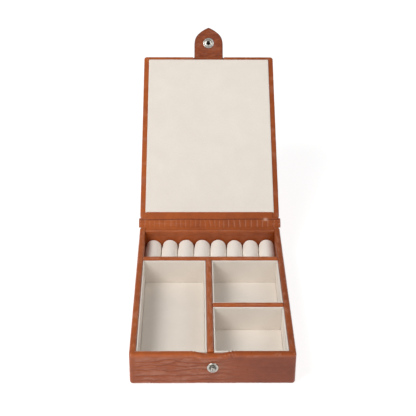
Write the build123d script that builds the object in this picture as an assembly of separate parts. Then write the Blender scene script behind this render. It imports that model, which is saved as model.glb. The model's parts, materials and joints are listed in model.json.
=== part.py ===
"""Leather-covered jewellery case: a divided base, a hinged lid and a press-stud closing tab.

Everything is in millimetres, +X right, +Y towards the hinge, +Z up. The origin is the centre of
the underside. The lid is drawn closed and the tab buttoned, then both are turned to the open
position that the case is stored in.
"""
import os

from build123d import *

os.makedirs("parts", exist_ok=True)

# Base
WIDTH = 120.0
DEPTH = 175.0
HEIGHT = 27.5
LEATHER = 1.0
BOARD = 3.0
WALL = 2 * LEATHER + BOARD
FLOOR_BOARD = 2.5
FLOOR_TOP = LEATHER + FLOOR_BOARD
CORNER_R = 2.5
BOTTOM_R = 2.2
RIM_R = 0.9
TURN_UNDER = 3.2
BOARD_GAP = 0.05
INSIDE_R = 1.0
BOARD_INSIDE_R = 0.8

# Shallow dip in the middle of the front rim, where the tab passes
DIP_WIDTH = 28.0
DIP_FLAT = 15.0
DIP_DEPTH = 1.8

# Dividers: the front and left faces of each
CROSS_Y = 37.7
SHORT_Y = -27.5
LONG_X = -4.0

# Tray linings
LINING = 1.2
LINING_DROP = 1.4
PAD = 1.7
PAD_GAP = 0.15
SOFT_R = 0.5

# Ring rolls
ROLLS = 8
ROLL_WIDTH = 13.0
ROLL_TOP = 19.8
ROLL_END_GAP = 0.4
CARD = 1.5

# Lid
LID_GAP = 0.3
LID_LEATHER = 0.9
LINING_PROUD = 0.8
LINING_FABRIC = 0.3
LINING_WIDTH = 110.9
LINING_CORNER_R = 1.0
LINING_MARGIN_FRONT = 3.1
LINING_MARGIN_HINGE = 5.6
TURN_IN = 12.0
LID_EDGE_R = 0.8
HINGE_GAP = 8.0
HINGE_END = 0.6
HINGE_BULGE = 0.7
HINGE_STRIP = 0.9
STRIP_HIDDEN = 4.0
LID_OPEN = 146.5

# Tab
TAB_LEATHER = 0.8
TAB_WIDTH = 26.5
TAB_START = 0.5
TAB_LENGTH = 26.8
TAB_STRAIGHT = 10.5
# Half widths of the tab's pointed arch at distances from the hinge line
TAB_ARCH = [(12.8, 14.4), (11.5, 18.0), (9.8, 20.4), (7.6, 22.5), (4.6, 24.8)]
TAB_TIP_SLOPE = -0.62
TAB_LIFT = 72.0
TAB_FACE_GAP = 1.8
ROOT_HIDDEN = 10.0
ROOT_END = 0.7

# Press stud
STUD_Z = 15.3
STUD_R = 4.15
STUD_FLANGE = 0.6
STUD_FLANGE_ROUND = 0.7
STUD_POST_R = 1.5
STUD_POST = 1.9
STUD_HEAD = 1.1
STUD_HEAD_ROUND = 0.35
STUD_NECK_R = 1.3
RIVET_R = 1.4
RIVET_HEAD_R = 4.0
RIVET_HEAD = 0.5
SOCKET_R = 5.0
SOCKET_DISC = 0.9
SOCKET_BORE_R = 1.9
SOCKET_BARREL_R = 2.7
SOCKET_BARREL = 1.1
CAP_R = 5.6
CAP_DOME = 1.0
CAP_ROUND = 0.8
SPRING_R = 2.05
SPRING_WIRE_R = 0.2
FIT_GAP = 0.1

# How far a cutter runs past what it cuts
PAST = 1.0

# Hinge lines with the lid closed
LID_AXIS_Y = DEPTH / 2 + 0.3
LID_AXIS_Z = HEIGHT + 0.69
TAB_AXIS_Y = -DEPTH / 2 - 1.2
TAB_AXIS_Z = HEIGHT - 0.3

# Levels and lines that follow from these
LID_FACE_Z = HEIGHT + LID_GAP
BORDER_Z = LID_FACE_Z + LINING_PROUD
LID_BOARD_Z = BORDER_Z + LID_LEATHER
LID_TOP_Z = LID_BOARD_Z + BOARD + LID_LEATHER
LID_REAR_Y = LID_AXIS_Y - HINGE_GAP
LINING_FRONT_Y = -DEPTH / 2 + LINING_MARGIN_FRONT
LINING_REAR_Y = LID_REAR_Y - LINING_MARGIN_HINGE
INNER_X = WIDTH / 2 - WALL
INNER_Y = DEPTH / 2 - WALL
TAB_FACE_Y = -DEPTH / 2 - TAB_FACE_GAP
TRAYS = {
    "left_tray": (-INNER_X, LONG_X, -INNER_Y, CROSS_Y),
    "rear_right_tray": (LONG_X + WALL, INNER_X, SHORT_Y + WALL, CROSS_Y),
    "front_right_tray": (LONG_X + WALL, INNER_X, -INNER_Y, SHORT_Y),
}


def block(x0, x1, y0, y1, z0, z1):
    """A box between two corners."""
    centre = ((x0 + x1) / 2, (y0 + y1) / 2, (z0 + z1) / 2)
    return Pos(*centre) * Box(x1 - x0, y1 - y0, z1 - z0)


def inset_prism(inset, z0, z1, radius):
    """The case's plan, drawn in by inset, as a prism with rounded upright edges."""
    plan = RectangleRounded(WIDTH - 2 * inset, DEPTH - 2 * inset, radius)
    return Pos(0, 0, z0) * extrude(plan, z1 - z0)


def disc(radius, y0, y1, z=STUD_Z):
    """A round disc or pin that runs from front to back."""
    return Pos(0, (y0 + y1) / 2, z) * Rot(90, 0, 0) * Cylinder(radius, abs(y1 - y0))


def round_edges(solid, radius, axis, at):
    """Rounds the edges that lie in one plane across an axis."""
    edges = solid.edges().filter_by_position(axis, at - 0.001, at + 0.001)
    return fillet(edges, radius)


def save(name, shape):
    """Writes one node's STEP file."""
    solids = shape.solids()
    export_step(solids[0] if len(solids) == 1 else Compound(children=list(solids)), f"parts/{name}.step")


def dip_profile(level):
    """The face above the front rim's line, with the dip, for a rim at this level."""
    half, flat = DIP_WIDTH / 2, DIP_FLAT / 2
    over = level + WALL
    left = Spline((-half, level), (-flat, level - DIP_DEPTH), tangents=[(1, 0), (1, 0)])
    bottom = Line((-flat, level - DIP_DEPTH), (flat, level - DIP_DEPTH))
    right = Spline((flat, level - DIP_DEPTH), (half, level), tangents=[(1, 0), (1, 0)])
    above = Polyline((half, level), (half, over), (-half, over), (-half, level))
    return make_face(left + bottom + right + above)


def dip_cutter(level):
    """What the dip takes from the front wall, for a rim at this level."""
    face = Plane.XZ.offset(INNER_Y - PAST) * dip_profile(level)
    return extrude(face, WALL + 2 * PAST)


def base_leather_ring(top, inner_leg):
    """The leather round the base's walls: outer skin, rim, and a leg down the inside."""
    outer = inset_prism(0, 0, top, CORNER_R)
    outer = round_edges(outer, BOTTOM_R, Axis.Z, 0)
    ring = outer - inset_prism(TURN_UNDER, -PAST, LEATHER, INSIDE_R)
    ring -= inset_prism(LEATHER, LEATHER, FLOOR_TOP, CORNER_R - LEATHER)
    wall = WALL if inner_leg else WALL - LEATHER
    in_x, in_y = WIDTH / 2 - wall, DEPTH / 2 - wall
    ring -= block(-in_x, in_x, -in_y, in_y, FLOOR_TOP - BOARD_GAP, top + PAST)
    boards = inset_prism(LEATHER, FLOOR_TOP - BOARD_GAP, top - LEATHER, CORNER_R - LEATHER)
    boards -= inset_prism(WALL - LEATHER, 0, top, BOARD_INSIDE_R)
    return ring - boards


def wall_leathers():
    """The four leather panels of the base. The side panels take in the back corners."""
    ring = base_leather_ring(HEIGHT, True)
    ring -= dip_cutter(HEIGHT)
    dip_fill = inset_prism(LEATHER, FLOOR_TOP, HEIGHT - LEATHER, CORNER_R - LEATHER)
    dip_fill -= inset_prism(WALL - LEATHER, 0, HEIGHT, BOARD_INSIDE_R)
    lowered = block(-DIP_WIDTH / 2, DIP_WIDTH / 2, -DEPTH / 2, -INNER_Y, HEIGHT - WALL, HEIGHT)
    lowered -= dip_cutter(HEIGHT)
    lowered -= dip_fill - dip_cutter(HEIGHT - LEATHER)
    ring += lowered
    ring = round_edges(ring, RIM_R, Axis.Z, HEIGHT)
    mitre = 2 * WALL
    front_plan = Polyline(
        (-WIDTH / 2 - PAST, -DEPTH / 2 - PAST),
        (WIDTH / 2 + PAST, -DEPTH / 2 - PAST),
        (WIDTH / 2 - mitre, -DEPTH / 2 + mitre),
        (-WIDTH / 2 + mitre, -DEPTH / 2 + mitre),
        close=True,
    )
    front_wedge = Pos(0, 0, -PAST) * extrude(make_face(front_plan), HEIGHT + 2 * PAST)
    front = ring & front_wedge
    rest = ring - front_wedge
    sides = rest - block(-INNER_X, INNER_X, 0, DEPTH, -PAST, HEIGHT + PAST)
    back = base_leather_ring(HEIGHT - LEATHER, False)
    back &= block(-INNER_X, INNER_X, INNER_Y - PAST, DEPTH, -PAST, HEIGHT)
    front -= disc(RIVET_R + FIT_GAP, -DEPTH / 2 - PAST, -DEPTH / 2 + WALL - LEATHER / 2)
    return {
        "front_leather": front,
        "left_leather": sides & block(-WIDTH, 0, -DEPTH, DEPTH, -PAST, HEIGHT + PAST),
        "right_leather": sides & block(0, WIDTH, -DEPTH, DEPTH, -PAST, HEIGHT + PAST),
        "back_leather": back,
    }


def base_boards():
    """The stiff boards under the base's leather."""
    floor = inset_prism(LEATHER + BOARD_GAP, LEATHER, FLOOR_TOP, CORNER_R - LEATHER)
    floor = round_edges(floor, BOTTOM_R - LEATHER, Axis.Z, LEATHER)
    low, high = FLOOR_TOP, HEIGHT - LEATHER
    side_in, side_out = WIDTH / 2 - WALL + LEATHER, WIDTH / 2 - LEATHER - BOARD_GAP
    end_in, end_out = DEPTH / 2 - WALL + LEATHER, DEPTH / 2 - LEATHER
    side = block(side_in, side_out, -end_out + BOARD_GAP, end_out - BOARD_GAP, low, high)
    side = fillet(side.edges().filter_by(Axis.Z).group_by(Axis.X)[-1], CORNER_R - LEATHER)
    front = block(-side_in, side_in, -end_out, -end_in, low, high) - dip_cutter(high)
    front -= disc(RIVET_R + FIT_GAP, -DEPTH / 2, 0)
    front -= disc(RIVET_HEAD_R + FIT_GAP, -end_in - RIVET_HEAD - FIT_GAP, -end_in + PAST)
    back = block(-side_in, side_in, end_in, end_out, low, high - LEATHER)
    return {
        "floor_board": floor,
        "front_board": front,
        "back_board": back,
        "left_board": mirror(side, Plane.YZ),
        "right_board": side,
        "bottom_cover": inset_prism(TURN_UNDER + FIT_GAP, 0, LEATHER - BOARD_GAP, INSIDE_R),
    }


def divider(x0, x1, y0, y1, along):
    """One divider's board and the leather folded over it; along names its long axis."""
    whole = block(x0, x1, y0, y1, FLOOR_TOP, HEIGHT)
    rims = whole.edges().group_by(Axis.Z)[-1].filter_by(along)
    whole = fillet(rims, RIM_R)
    if along == Axis.X:
        board = block(x0, x1, y0 + LEATHER, y1 - LEATHER, FLOOR_TOP, HEIGHT - LEATHER)
    else:
        board = block(x0 + LEATHER, x1 - LEATHER, y0, y1, FLOOR_TOP, HEIGHT - LEATHER)
    return whole - board, board


def dividers():
    """The cross, long and short dividers."""
    made = {}
    spans = {
        "cross_divider": (-INNER_X, INNER_X, CROSS_Y, CROSS_Y + WALL, Axis.X),
        "long_divider": (LONG_X, LONG_X + WALL, -INNER_Y, CROSS_Y, Axis.Y),
        "short_divider": (LONG_X + WALL, INNER_X, SHORT_Y, SHORT_Y + WALL, Axis.X),
    }
    for name, span in spans.items():
        leather, board = divider(*span)
        made[f"{name}_leather"] = leather
        made[f"{name}_board"] = board
    return made


def tray_lining(x0, x1, y0, y1):
    """Four lined panels round a tray and the pad on its floor."""
    top = HEIGHT - LINING_DROP
    panels = [
        block(x0, x1, y0, y0 + LINING, FLOOR_TOP, top),
        block(x0, x1, y1 - LINING, y1, FLOOR_TOP, top),
        block(x0, x0 + LINING, y0 + LINING, y1 - LINING, FLOOR_TOP, top),
        block(x1 - LINING, x1, y0 + LINING, y1 - LINING, FLOOR_TOP, top),
    ]
    inset = LINING + PAD_GAP
    pad = block(x0 + inset, x1 - inset, y0 + inset, y1 - inset, FLOOR_TOP, FLOOR_TOP + PAD)
    pad = fillet(pad.edges().group_by(Axis.Z)[-1], SOFT_R)
    return Compound(children=[Solid(p.solid().wrapped) for p in panels]), pad


def ring_roll(index):
    """One foam ring roll: flat underneath, round on top, its length front to back."""
    pitch = 2 * INNER_X / ROLLS
    x = -INNER_X + pitch * (index + 0.5)
    radius = ROLL_WIDTH / 2
    low = FLOOR_TOP + CARD
    upright = Pos(x, 0) * Rectangle(ROLL_WIDTH, ROLL_TOP - radius - low, align=(Align.CENTER, Align.MIN))
    section = Pos(0, low) * upright + Pos(x, ROLL_TOP - radius) * Circle(radius)
    rear = DEPTH / 2 - WALL - ROLL_END_GAP
    length = rear - (CROSS_Y + WALL + ROLL_END_GAP)
    roll = extrude(Plane.XZ.offset(-rear) * section, length)
    ends = roll.edges().filter_by(GeomType.CIRCLE)
    return fillet(ends, SOFT_R * 2)


def hinge_strip_base():
    """The hinge leather on the back wall's rim and down its inside."""
    outer, inner = DEPTH / 2, DEPTH / 2 - WALL
    rim = block(-INNER_X, INNER_X, inner, outer, HEIGHT - LEATHER, HEIGHT)
    rim = fillet(rim.edges().filter_by(Axis.X).group_by(Axis.Z)[-1], RIM_R)
    leg = block(-INNER_X, INNER_X, inner, inner + LEATHER, FLOOR_TOP, HEIGHT - LEATHER)
    return rim + leg


def lid_plan(inset, z0, z1, radius):
    """The lid board's plan with its leather, drawn in by inset, as a prism."""
    length = LID_REAR_Y + DEPTH / 2 - 2 * inset
    plan = RectangleRounded(WIDTH - 2 * inset, length, radius)
    return Pos(0, (LID_REAR_Y - DEPTH / 2) / 2, z0) * extrude(plan, z1 - z0)


def lid_parts():
    """The lid, drawn closed."""
    leather = lid_plan(0, BORDER_Z, LID_TOP_Z, CORNER_R)
    leather = round_edges(leather, LID_EDGE_R, Axis.Z, LID_TOP_Z)
    leather = round_edges(leather, LID_EDGE_R / 2, Axis.Z, BORDER_Z)
    space = lid_plan(LID_LEATHER, LID_BOARD_Z, LID_BOARD_Z + BOARD, CORNER_R - LID_LEATHER)
    leather -= space
    leather -= lid_plan(TURN_IN, BORDER_Z - PAST, LID_BOARD_Z + PAST, INSIDE_R)
    spine_low = BORDER_Z + LINING_FABRIC
    spine = block(
        -WIDTH / 2 - HINGE_BULGE, WIDTH / 2 + HINGE_BULGE,
        LID_REAR_Y - LID_LEATHER / 2, LID_AXIS_Y - HINGE_END,
        spine_low, spine_low + HINGE_STRIP,
    )
    leather += spine - space
    board = lid_plan(LID_LEATHER + BOARD_GAP, LID_BOARD_Z, LID_BOARD_Z + BOARD, CORNER_R - LEATHER)
    filler = lid_plan(TURN_IN + FIT_GAP, BORDER_Z, LID_BOARD_Z, INSIDE_R)

    card_z = LID_FACE_Z + LINING_FABRIC
    strip = block(
        -WIDTH / 2 - HINGE_BULGE, WIDTH / 2 + HINGE_BULGE,
        LID_REAR_Y, LID_AXIS_Y - HINGE_END,
        spine_low - HINGE_STRIP, spine_low,
    )
    strip += block(
        -LINING_WIDTH / 2 + LINING, LINING_WIDTH / 2 - LINING,
        LINING_REAR_Y - STRIP_HIDDEN, LID_REAR_Y + PAST,
        card_z, BORDER_Z,
    )
    half = LINING_WIDTH / 2
    whole = block(-half, half, LINING_FRONT_Y, LINING_REAR_Y, LID_FACE_Z, BORDER_Z)
    whole = fillet(whole.edges().filter_by(Axis.Z), LINING_CORNER_R)
    whole = round_edges(whole, LINING_FABRIC / 2, Axis.Z, LID_FACE_Z)
    card_space = block(
        -half + LINING_FABRIC, half - LINING_FABRIC,
        LINING_FRONT_Y + LINING_FABRIC, LINING_REAR_Y + PAST,
        card_z, BORDER_Z + PAST,
    )
    root_space = block(
        -TAB_WIDTH / 2 - FIT_GAP, TAB_WIDTH / 2 + FIT_GAP,
        LINING_FRONT_Y - PAST, LINING_FRONT_Y + ROOT_HIDDEN + FIT_GAP,
        card_z, BORDER_Z + PAST,
    )
    fabric = whole - card_space - root_space
    card = card_space & block(
        -half, half, LINING_FRONT_Y, LINING_REAR_Y - STRIP_HIDDEN - FIT_GAP, card_z, BORDER_Z
    )
    card -= root_space
    root = block(
        -TAB_WIDTH / 2, TAB_WIDTH / 2,
        -DEPTH / 2 - ROOT_END, LINING_FRONT_Y - FIT_GAP, LID_FACE_Z, BORDER_Z,
    )
    root += block(
        -TAB_WIDTH / 2, TAB_WIDTH / 2,
        LINING_FRONT_Y - PAST, LINING_FRONT_Y + ROOT_HIDDEN, card_z, BORDER_Z,
    )
    return {
        "lid_leather": leather,
        "lid_board": board,
        "lid_filler_card": filler,
        "lid_lining_card": card,
        "lid_lining_fabric": fabric,
        "hinge_strip_lid": strip,
        "tab_root": root,
    }


def tab_outline():
    """The tab's face: straight sides, then a pointed arch."""
    half = TAB_WIDTH / 2
    side = [(half, -TAB_STRAIGHT)] + [(x, -d) for x, d in TAB_ARCH] + [(0, -TAB_LENGTH)]
    right = Spline(*side, tangents=[(0, -1), (-1, TAB_TIP_SLOPE)])
    left = Spline(*[(-x, z) for x, z in side], tangents=[(0, -1), (1, TAB_TIP_SLOPE)])
    top = Polyline((half, -TAB_STRAIGHT), (half, -TAB_START), (-half, -TAB_START), (-half, -TAB_STRAIGHT))
    return make_face(right + left + top)


def tab_parts():
    """The closing tab and its half of the press stud, drawn buttoned."""
    face = Plane.XZ.offset(-TAB_FACE_Y) * (Pos(0, TAB_AXIS_Z) * tab_outline())
    hole = disc(SOCKET_BARREL_R + FIT_GAP, TAB_FACE_Y + PAST, TAB_FACE_Y - 2 * TAB_LEATHER - PAST)
    inner = extrude(face, TAB_LEATHER) - hole
    outer = Pos(0, -TAB_LEATHER, 0) * extrude(face, TAB_LEATHER) - hole
    front = TAB_FACE_Y + SOCKET_DISC
    socket = disc(SOCKET_R, TAB_FACE_Y, front)
    rim = socket.edges().filter_by(GeomType.CIRCLE).group_by(Axis.Y)[-1]
    socket = fillet(rim, SOCKET_DISC / 2)
    socket += disc(SOCKET_BARREL_R, TAB_FACE_Y - SOCKET_BARREL, TAB_FACE_Y)
    socket -= disc(SOCKET_BORE_R, TAB_FACE_Y - SOCKET_BARREL - PAST, front + PAST)
    ring = Pos(0, front - SOCKET_DISC / 2, STUD_Z) * Rot(90, 0, 0)
    socket -= ring * Torus(SPRING_R, SPRING_WIRE_R + FIT_GAP / 2)
    spring = ring * Torus(SPRING_R, SPRING_WIRE_R)
    back = TAB_FACE_Y - 2 * TAB_LEATHER
    cap = disc(CAP_R, back - CAP_DOME, back)
    cap = fillet(cap.edges().filter_by(GeomType.CIRCLE).group_by(Axis.Y)[0], CAP_DOME * CAP_ROUND)
    cap += disc(SOCKET_BARREL_R, back, TAB_FACE_Y - SOCKET_BARREL)
    return {
        "tab_inner_leather": inner,
        "tab_outer_leather": outer,
        "snap_socket": socket,
        "snap_socket_spring": spring,
        "snap_cap": cap,
    }


def stud_parts():
    """The press stud on the front wall and the rivet that holds it."""
    face = -DEPTH / 2
    flange = disc(STUD_R, face, face - STUD_FLANGE)
    rim = flange.edges().filter_by(GeomType.CIRCLE).group_by(Axis.Y)[0]
    flange = fillet(rim, STUD_FLANGE * STUD_FLANGE_ROUND)
    tip = face - STUD_FLANGE - STUD_POST
    neck = disc(STUD_NECK_R, face, tip + STUD_HEAD / 2)
    head = disc(STUD_POST_R, tip + STUD_HEAD, tip)
    head = fillet(head.edges().filter_by(GeomType.CIRCLE), STUD_HEAD_ROUND)
    rivet = disc(RIVET_R, face, face + WALL - LEATHER - RIVET_HEAD / 2)
    rivet += disc(RIVET_HEAD_R, face + WALL - LEATHER - RIVET_HEAD, face + WALL - LEATHER)
    return {"snap_stud": flange + neck + head, "snap_stud_rivet": rivet}


def opened(shape):
    """Turns a closed lid piece to the stored position."""
    return shape.rotate(Axis((0, LID_AXIS_Y, LID_AXIS_Z), (1, 0, 0)), -LID_OPEN)


def lifted(shape):
    """Turns a buttoned tab piece off the stud, before the lid opens."""
    return shape.rotate(Axis((0, TAB_AXIS_Y, TAB_AXIS_Z), (1, 0, 0)), -TAB_LIFT)


def base_parts():
    """Everything that stands on the table."""
    made = {**base_boards(), **wall_leathers(), **dividers(), **stud_parts()}
    for name, span in TRAYS.items():
        walls, pad = tray_lining(*span)
        made[f"{name}_wall_lining"] = walls
        made[f"{name}_floor_pad"] = pad
    made["hinge_strip_base"] = hinge_strip_base()
    front, rear = CROSS_Y + WALL, INNER_Y
    made["ring_bay_card"] = block(
        -INNER_X + FIT_GAP, INNER_X - FIT_GAP, front + FIT_GAP, rear - FIT_GAP, FLOOR_TOP, FLOOR_TOP + CARD
    )
    for i in range(ROLLS):
        made[f"ring_roll_{i + 1}"] = ring_roll(i)
    return made


for node, shape in base_parts().items():
    save(node, shape)
for node, shape in lid_parts().items():
    save(node, opened(shape))
for node, shape in tab_parts().items():
    save(node, opened(lifted(shape)))
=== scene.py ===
import json
import math

import bmesh
import bpy
import numpy as np
from mathutils import Matrix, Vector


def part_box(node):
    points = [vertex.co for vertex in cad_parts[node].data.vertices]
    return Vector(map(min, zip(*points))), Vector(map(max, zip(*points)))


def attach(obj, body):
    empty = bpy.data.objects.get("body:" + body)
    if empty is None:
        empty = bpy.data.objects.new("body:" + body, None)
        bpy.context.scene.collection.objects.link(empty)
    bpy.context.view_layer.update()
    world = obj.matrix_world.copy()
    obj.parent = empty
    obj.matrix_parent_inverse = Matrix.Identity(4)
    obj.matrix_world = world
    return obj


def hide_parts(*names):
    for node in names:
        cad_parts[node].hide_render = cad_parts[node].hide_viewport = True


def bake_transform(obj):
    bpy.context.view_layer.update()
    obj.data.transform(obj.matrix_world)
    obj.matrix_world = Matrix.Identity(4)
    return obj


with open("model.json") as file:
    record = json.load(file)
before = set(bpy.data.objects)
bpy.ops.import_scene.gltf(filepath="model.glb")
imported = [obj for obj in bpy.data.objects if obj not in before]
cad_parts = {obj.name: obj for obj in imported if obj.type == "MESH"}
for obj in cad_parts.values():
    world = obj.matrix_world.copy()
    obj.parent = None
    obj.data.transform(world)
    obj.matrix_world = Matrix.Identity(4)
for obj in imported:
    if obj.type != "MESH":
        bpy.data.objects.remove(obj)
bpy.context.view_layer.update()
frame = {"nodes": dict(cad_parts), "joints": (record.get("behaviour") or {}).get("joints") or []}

# Sizes are in millimetres until a mesh is made. "Closed" coordinates have the lid shut, and the
# tab buttoned as well where a function says so; opened() and lifted() turn them to the rest pose.
MM = 0.001
MERGE = 0.002  # points closer than this become one
JOINTS = {j["name"]: j for j in frame["joints"]}


# ---------------------------------------------------------------- frame maths
def node_box(name):
    """A CAD node's lowest and highest corner at rest."""
    lo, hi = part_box(name)
    return np.round(np.array(lo) / MM, 3), np.round(np.array(hi) / MM, 3)


def turn(points, axis, angle):
    """Points turned about a line along X."""
    p = np.array(points, float)
    y, z = p[..., 1] - axis[1], p[..., 2] - axis[2]
    c, s = math.cos(angle), math.sin(angle)
    p[..., 1] = axis[1] + y * c - z * s
    p[..., 2] = axis[2] + y * s + z * c
    return p


LID_AXIS = np.array(JOINTS["lid_hinge"]["pos_m"]) / MM
LID_OPEN = math.radians(JOINTS["lid_hinge"]["range_deg"][1])
TAB_LIFT = math.radians(JOINTS["tab_fold"]["range_deg"][1])
TAB_AXIS = turn(np.array(JOINTS["tab_fold"]["pos_m"]) / MM, LID_AXIS, LID_OPEN)


def opened(points):
    """Closed lid points at rest."""
    return turn(points, LID_AXIS, -LID_OPEN)


def lifted(points):
    """Buttoned tab points with the lid closed and the tab at its rest set."""
    return turn(points, TAB_AXIS, -TAB_LIFT)


def coordinates(mesh):
    """A mesh's points, one per row."""
    co = np.empty(len(mesh.vertices) * 3)
    mesh.vertices.foreach_get("co", co)
    return co.reshape(-1, 3)


def closed_box(name):
    """A lid node's lowest and highest corner with the lid closed."""
    p = turn(coordinates(frame["nodes"][name].data) / MM, LID_AXIS, LID_OPEN)
    return np.round(p.min(0), 3), np.round(p.max(0), 3)


# ---------------------------------------------------------------- noise and scales
def hashed(i, j, seed):
    """A repeatable number from 0 to 1 for each pair of whole numbers."""
    mask = 0x7FFFFFFF
    n = (np.asarray(i, np.int64) * 73856093) ^ (np.asarray(j, np.int64) * 19349663)
    n = (n ^ (seed * 83492791)) & mask
    n = ((n ^ (n >> 13)) * 1274126177) & mask
    n = ((n ^ (n >> 16)) * 668265263) & mask
    return ((n >> 7) & 0xFFFFFF) / float(0xFFFFFF)


def noise(x, y, seed):
    """Smooth noise from -1 to 1 with one feature per unit."""
    x, y = np.broadcast_arrays(np.asarray(x, float), np.asarray(y, float))
    xi, yi = np.floor(x), np.floor(y)
    fx, fy = x - xi, y - yi
    fx, fy = fx * fx * (3 - 2 * fx), fy * fy * (3 - 2 * fy)
    low = hashed(xi, yi, seed) * (1 - fx) + hashed(xi + 1, yi, seed) * fx
    high = hashed(xi, yi + 1, seed) * (1 - fx) + hashed(xi + 1, yi + 1, seed) * fx
    return 2 * (low * (1 - fy) + high * fy) - 1


def fractal(x, y, seed):
    """Noise with two finer and fainter copies of itself."""
    return sum(noise(x * 2**k, y * 2**k, seed + k) * 0.5**k for k in range(3)) / 1.75


def ramp(x, low, high):
    """0 below low, 1 above high, smooth between."""
    t = np.clip((x - low) / (high - low), 0, 1)
    return t * t * (3 - 2 * t)


def bell(x, width):
    """1 at 0, and almost nothing from two widths away on."""
    return np.exp(-((x / width) ** 2))


def swell(edge, soft):
    """A scale's height at a distance from its edge: 0 in the groove, 1 on the crown."""
    return 1 - 0.55 * bell(edge, 0.42) - 0.45 * np.exp(-edge / soft)


def scales(s, t, wide, tall, seed, cross=0.6):
    """Embossed scales on a flat sheet: 1 on a crown, down to 0 in the grooves between rows.

    The grooves between the scales of one row have only a share of that depth, given by cross."""
    s, t = np.broadcast_arrays(np.asarray(s, float), np.asarray(t, float))
    q = s / wide + 0.18 * noise(s / wide * 1.7, t / tall * 0.7, seed)
    q = q + 0.05 * noise(s / 2.6, t / 2.2, seed + 7)
    r = t / tall + 0.34 * noise(s / wide * 1.5 + 9, t / tall * 0.5, seed + 1)
    r = r + 0.09 * noise(s / 3.3, t / 4.1, seed + 8)
    row = np.floor(r)
    near = np.full(q.shape, 9.0)
    nx, ny = np.zeros(q.shape), np.zeros(q.shape)
    far, fx, fy = near.copy(), nx.copy(), ny.copy()
    for dr in (-1, 0, 1):
        rr = row + dr
        shift = 0.5 * (rr % 2) + 0.6 * (hashed(rr, rr * 0, seed + 2) - 0.5)
        col = np.floor(q - shift)
        for dc in (-1, 0, 1):
            cc = col + dc
            px = cc + 0.5 + shift + 0.6 * (hashed(cc, rr, seed + 3) - 0.5)
            py = rr + 0.5 + 0.3 * (hashed(cc, rr, seed + 4) - 0.5)
            d = (np.abs(q - px) ** 3 + np.abs(r - py) ** 3) ** (1 / 3)
            first = d < near
            second = ~first & (d < far)
            far = np.where(first, near, np.where(second, d, far))
            fx = np.where(first, nx, np.where(second, px, fx))
            fy = np.where(first, ny, np.where(second, py, fy))
            near, nx, ny = np.where(first, d, near), np.where(first, px, nx), np.where(first, py, ny)
    ex, ey = fx - nx, fy - ny
    length = np.hypot(ex, ey) + 1e-9
    slope = np.hypot(ex / length / wide, ey / length / tall)
    edge = (far - near) / 2 / slope
    depth = cross + (1 - cross) * ramp(np.abs(ey / length / tall) / slope, 0.45, 0.9)
    return 1 - depth * (1 - swell(edge, 0.22 * min(wide, tall)))


# ---------------------------------------------------------------- meshes
def steps(a, b, step, ends=0.0):
    """Numbers from a to b about step apart; with ends, the last stretch at each side is finer."""
    if ends:
        bend = [ends * (1 - math.cos(k * math.pi / 10)) for k in range(5)]
        inner = np.linspace(a + ends, b - ends, max(2, round((b - a - 2 * ends) / step)) + 1)
        found = [a + v for v in bend] + list(inner) + [b - v for v in reversed(bend)]
    else:
        found = np.linspace(a, b, max(1, round((b - a) / step)) + 1)
    return np.array(sorted(set(round(v, 5) for v in found)))


def arc(centre, radius, start, end, count):
    """Points on an arc, its angles in degrees."""
    angles = np.radians(np.linspace(start, end, count))
    return [(centre[0] + radius * math.cos(a), centre[1] + radius * math.sin(a)) for a in angles]


def bezier(points, count):
    """Points on a cubic curve, without its first."""
    p = np.array(points, float)
    t = np.linspace(0, 1, count + 1)[1:, None]
    return list((1 - t) ** 3 * p[0] + 3 * (1 - t) ** 2 * t * p[1] + 3 * (1 - t) * t**2 * p[2] + t**3 * p[3])


def run(start, end, step):
    """Points from start to end about step apart, without the first."""
    a, b = np.array(start, float), np.array(end, float)
    count = max(1, round(np.linalg.norm(b - a) / step))
    return [a + (b - a) * k / count for k in range(1, count + 1)]


def lengths(path):
    """The distance along a path at each of its points."""
    p = np.array(path, float)
    return np.concatenate([[0], np.cumsum(np.linalg.norm(np.diff(p, axis=0), axis=1))])


def normals(grid):
    """Unit normals of a grid of points, by the right-hand rule from rows to columns."""
    du = np.gradient(grid, axis=0)
    dv = np.gradient(grid, axis=1)
    n = np.cross(du, dv)
    return n / (np.linalg.norm(n, axis=2, keepdims=True) + 1e-12)


def side_shade(x):
    """Painted shade: the leather darkens slowly from the left of the case to the right, away from the key
    lamp.
    """
    return 0.5 * ramp(x, -50, 75)


def pattern(s, t, seed):
    """Where each point lies on its sheet; seed keeps the material of one sheet off another's."""
    return np.stack([s, t, 0 * s + seed], axis=-1).reshape(-1, 3) * MM


def write_attributes(mesh, attributes):
    """Stores a value per point under each name: pat is a vector, the others are numbers."""
    for key, values in attributes.items():
        kind, field = ("FLOAT_VECTOR", "vector") if key == "pat" else ("FLOAT", "value")
        values = np.asarray(values, np.float32).ravel()
        mesh.attributes.new(key, kind, "POINT").data.foreach_set(field, values)


def make_object(name, points, faces, attributes=None, merge=MERGE):
    """A smooth-shaded mesh object from points in millimetres."""
    mesh = bpy.data.meshes.new(name)
    points = np.asarray(points, float).reshape(-1, 3)
    mesh.from_pydata((points * MM).tolist(), [], faces)
    # painted shade: each piece gets side_shade by default, and only the leather's material reads it
    write_attributes(mesh, {"shade": side_shade(points[:, 0]), **(attributes or {})})
    bm = bmesh.new()
    bm.from_mesh(mesh)
    bmesh.ops.remove_doubles(bm, verts=bm.verts, dist=merge * MM)
    bmesh.ops.recalc_face_normals(bm, faces=bm.faces)
    bm.to_mesh(mesh)
    bm.free()
    mesh.polygons.foreach_set("use_smooth", [True] * len(mesh.polygons))
    mesh.update()
    obj = bpy.data.objects.new(name, mesh)
    bpy.context.scene.collection.objects.link(obj)
    return obj


def grid_faces(nu, nv, start=0, closed=False):
    """Quads of a grid whose points are stored row by row."""
    faces = []
    for i in range(nu - 1):
        for j in range(nv if closed else nv - 1):
            a, b = start + i * nv + j, start + i * nv + (j + 1) % nv
            faces.append((a, a + nv, b + nv, b))
    return faces


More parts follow.
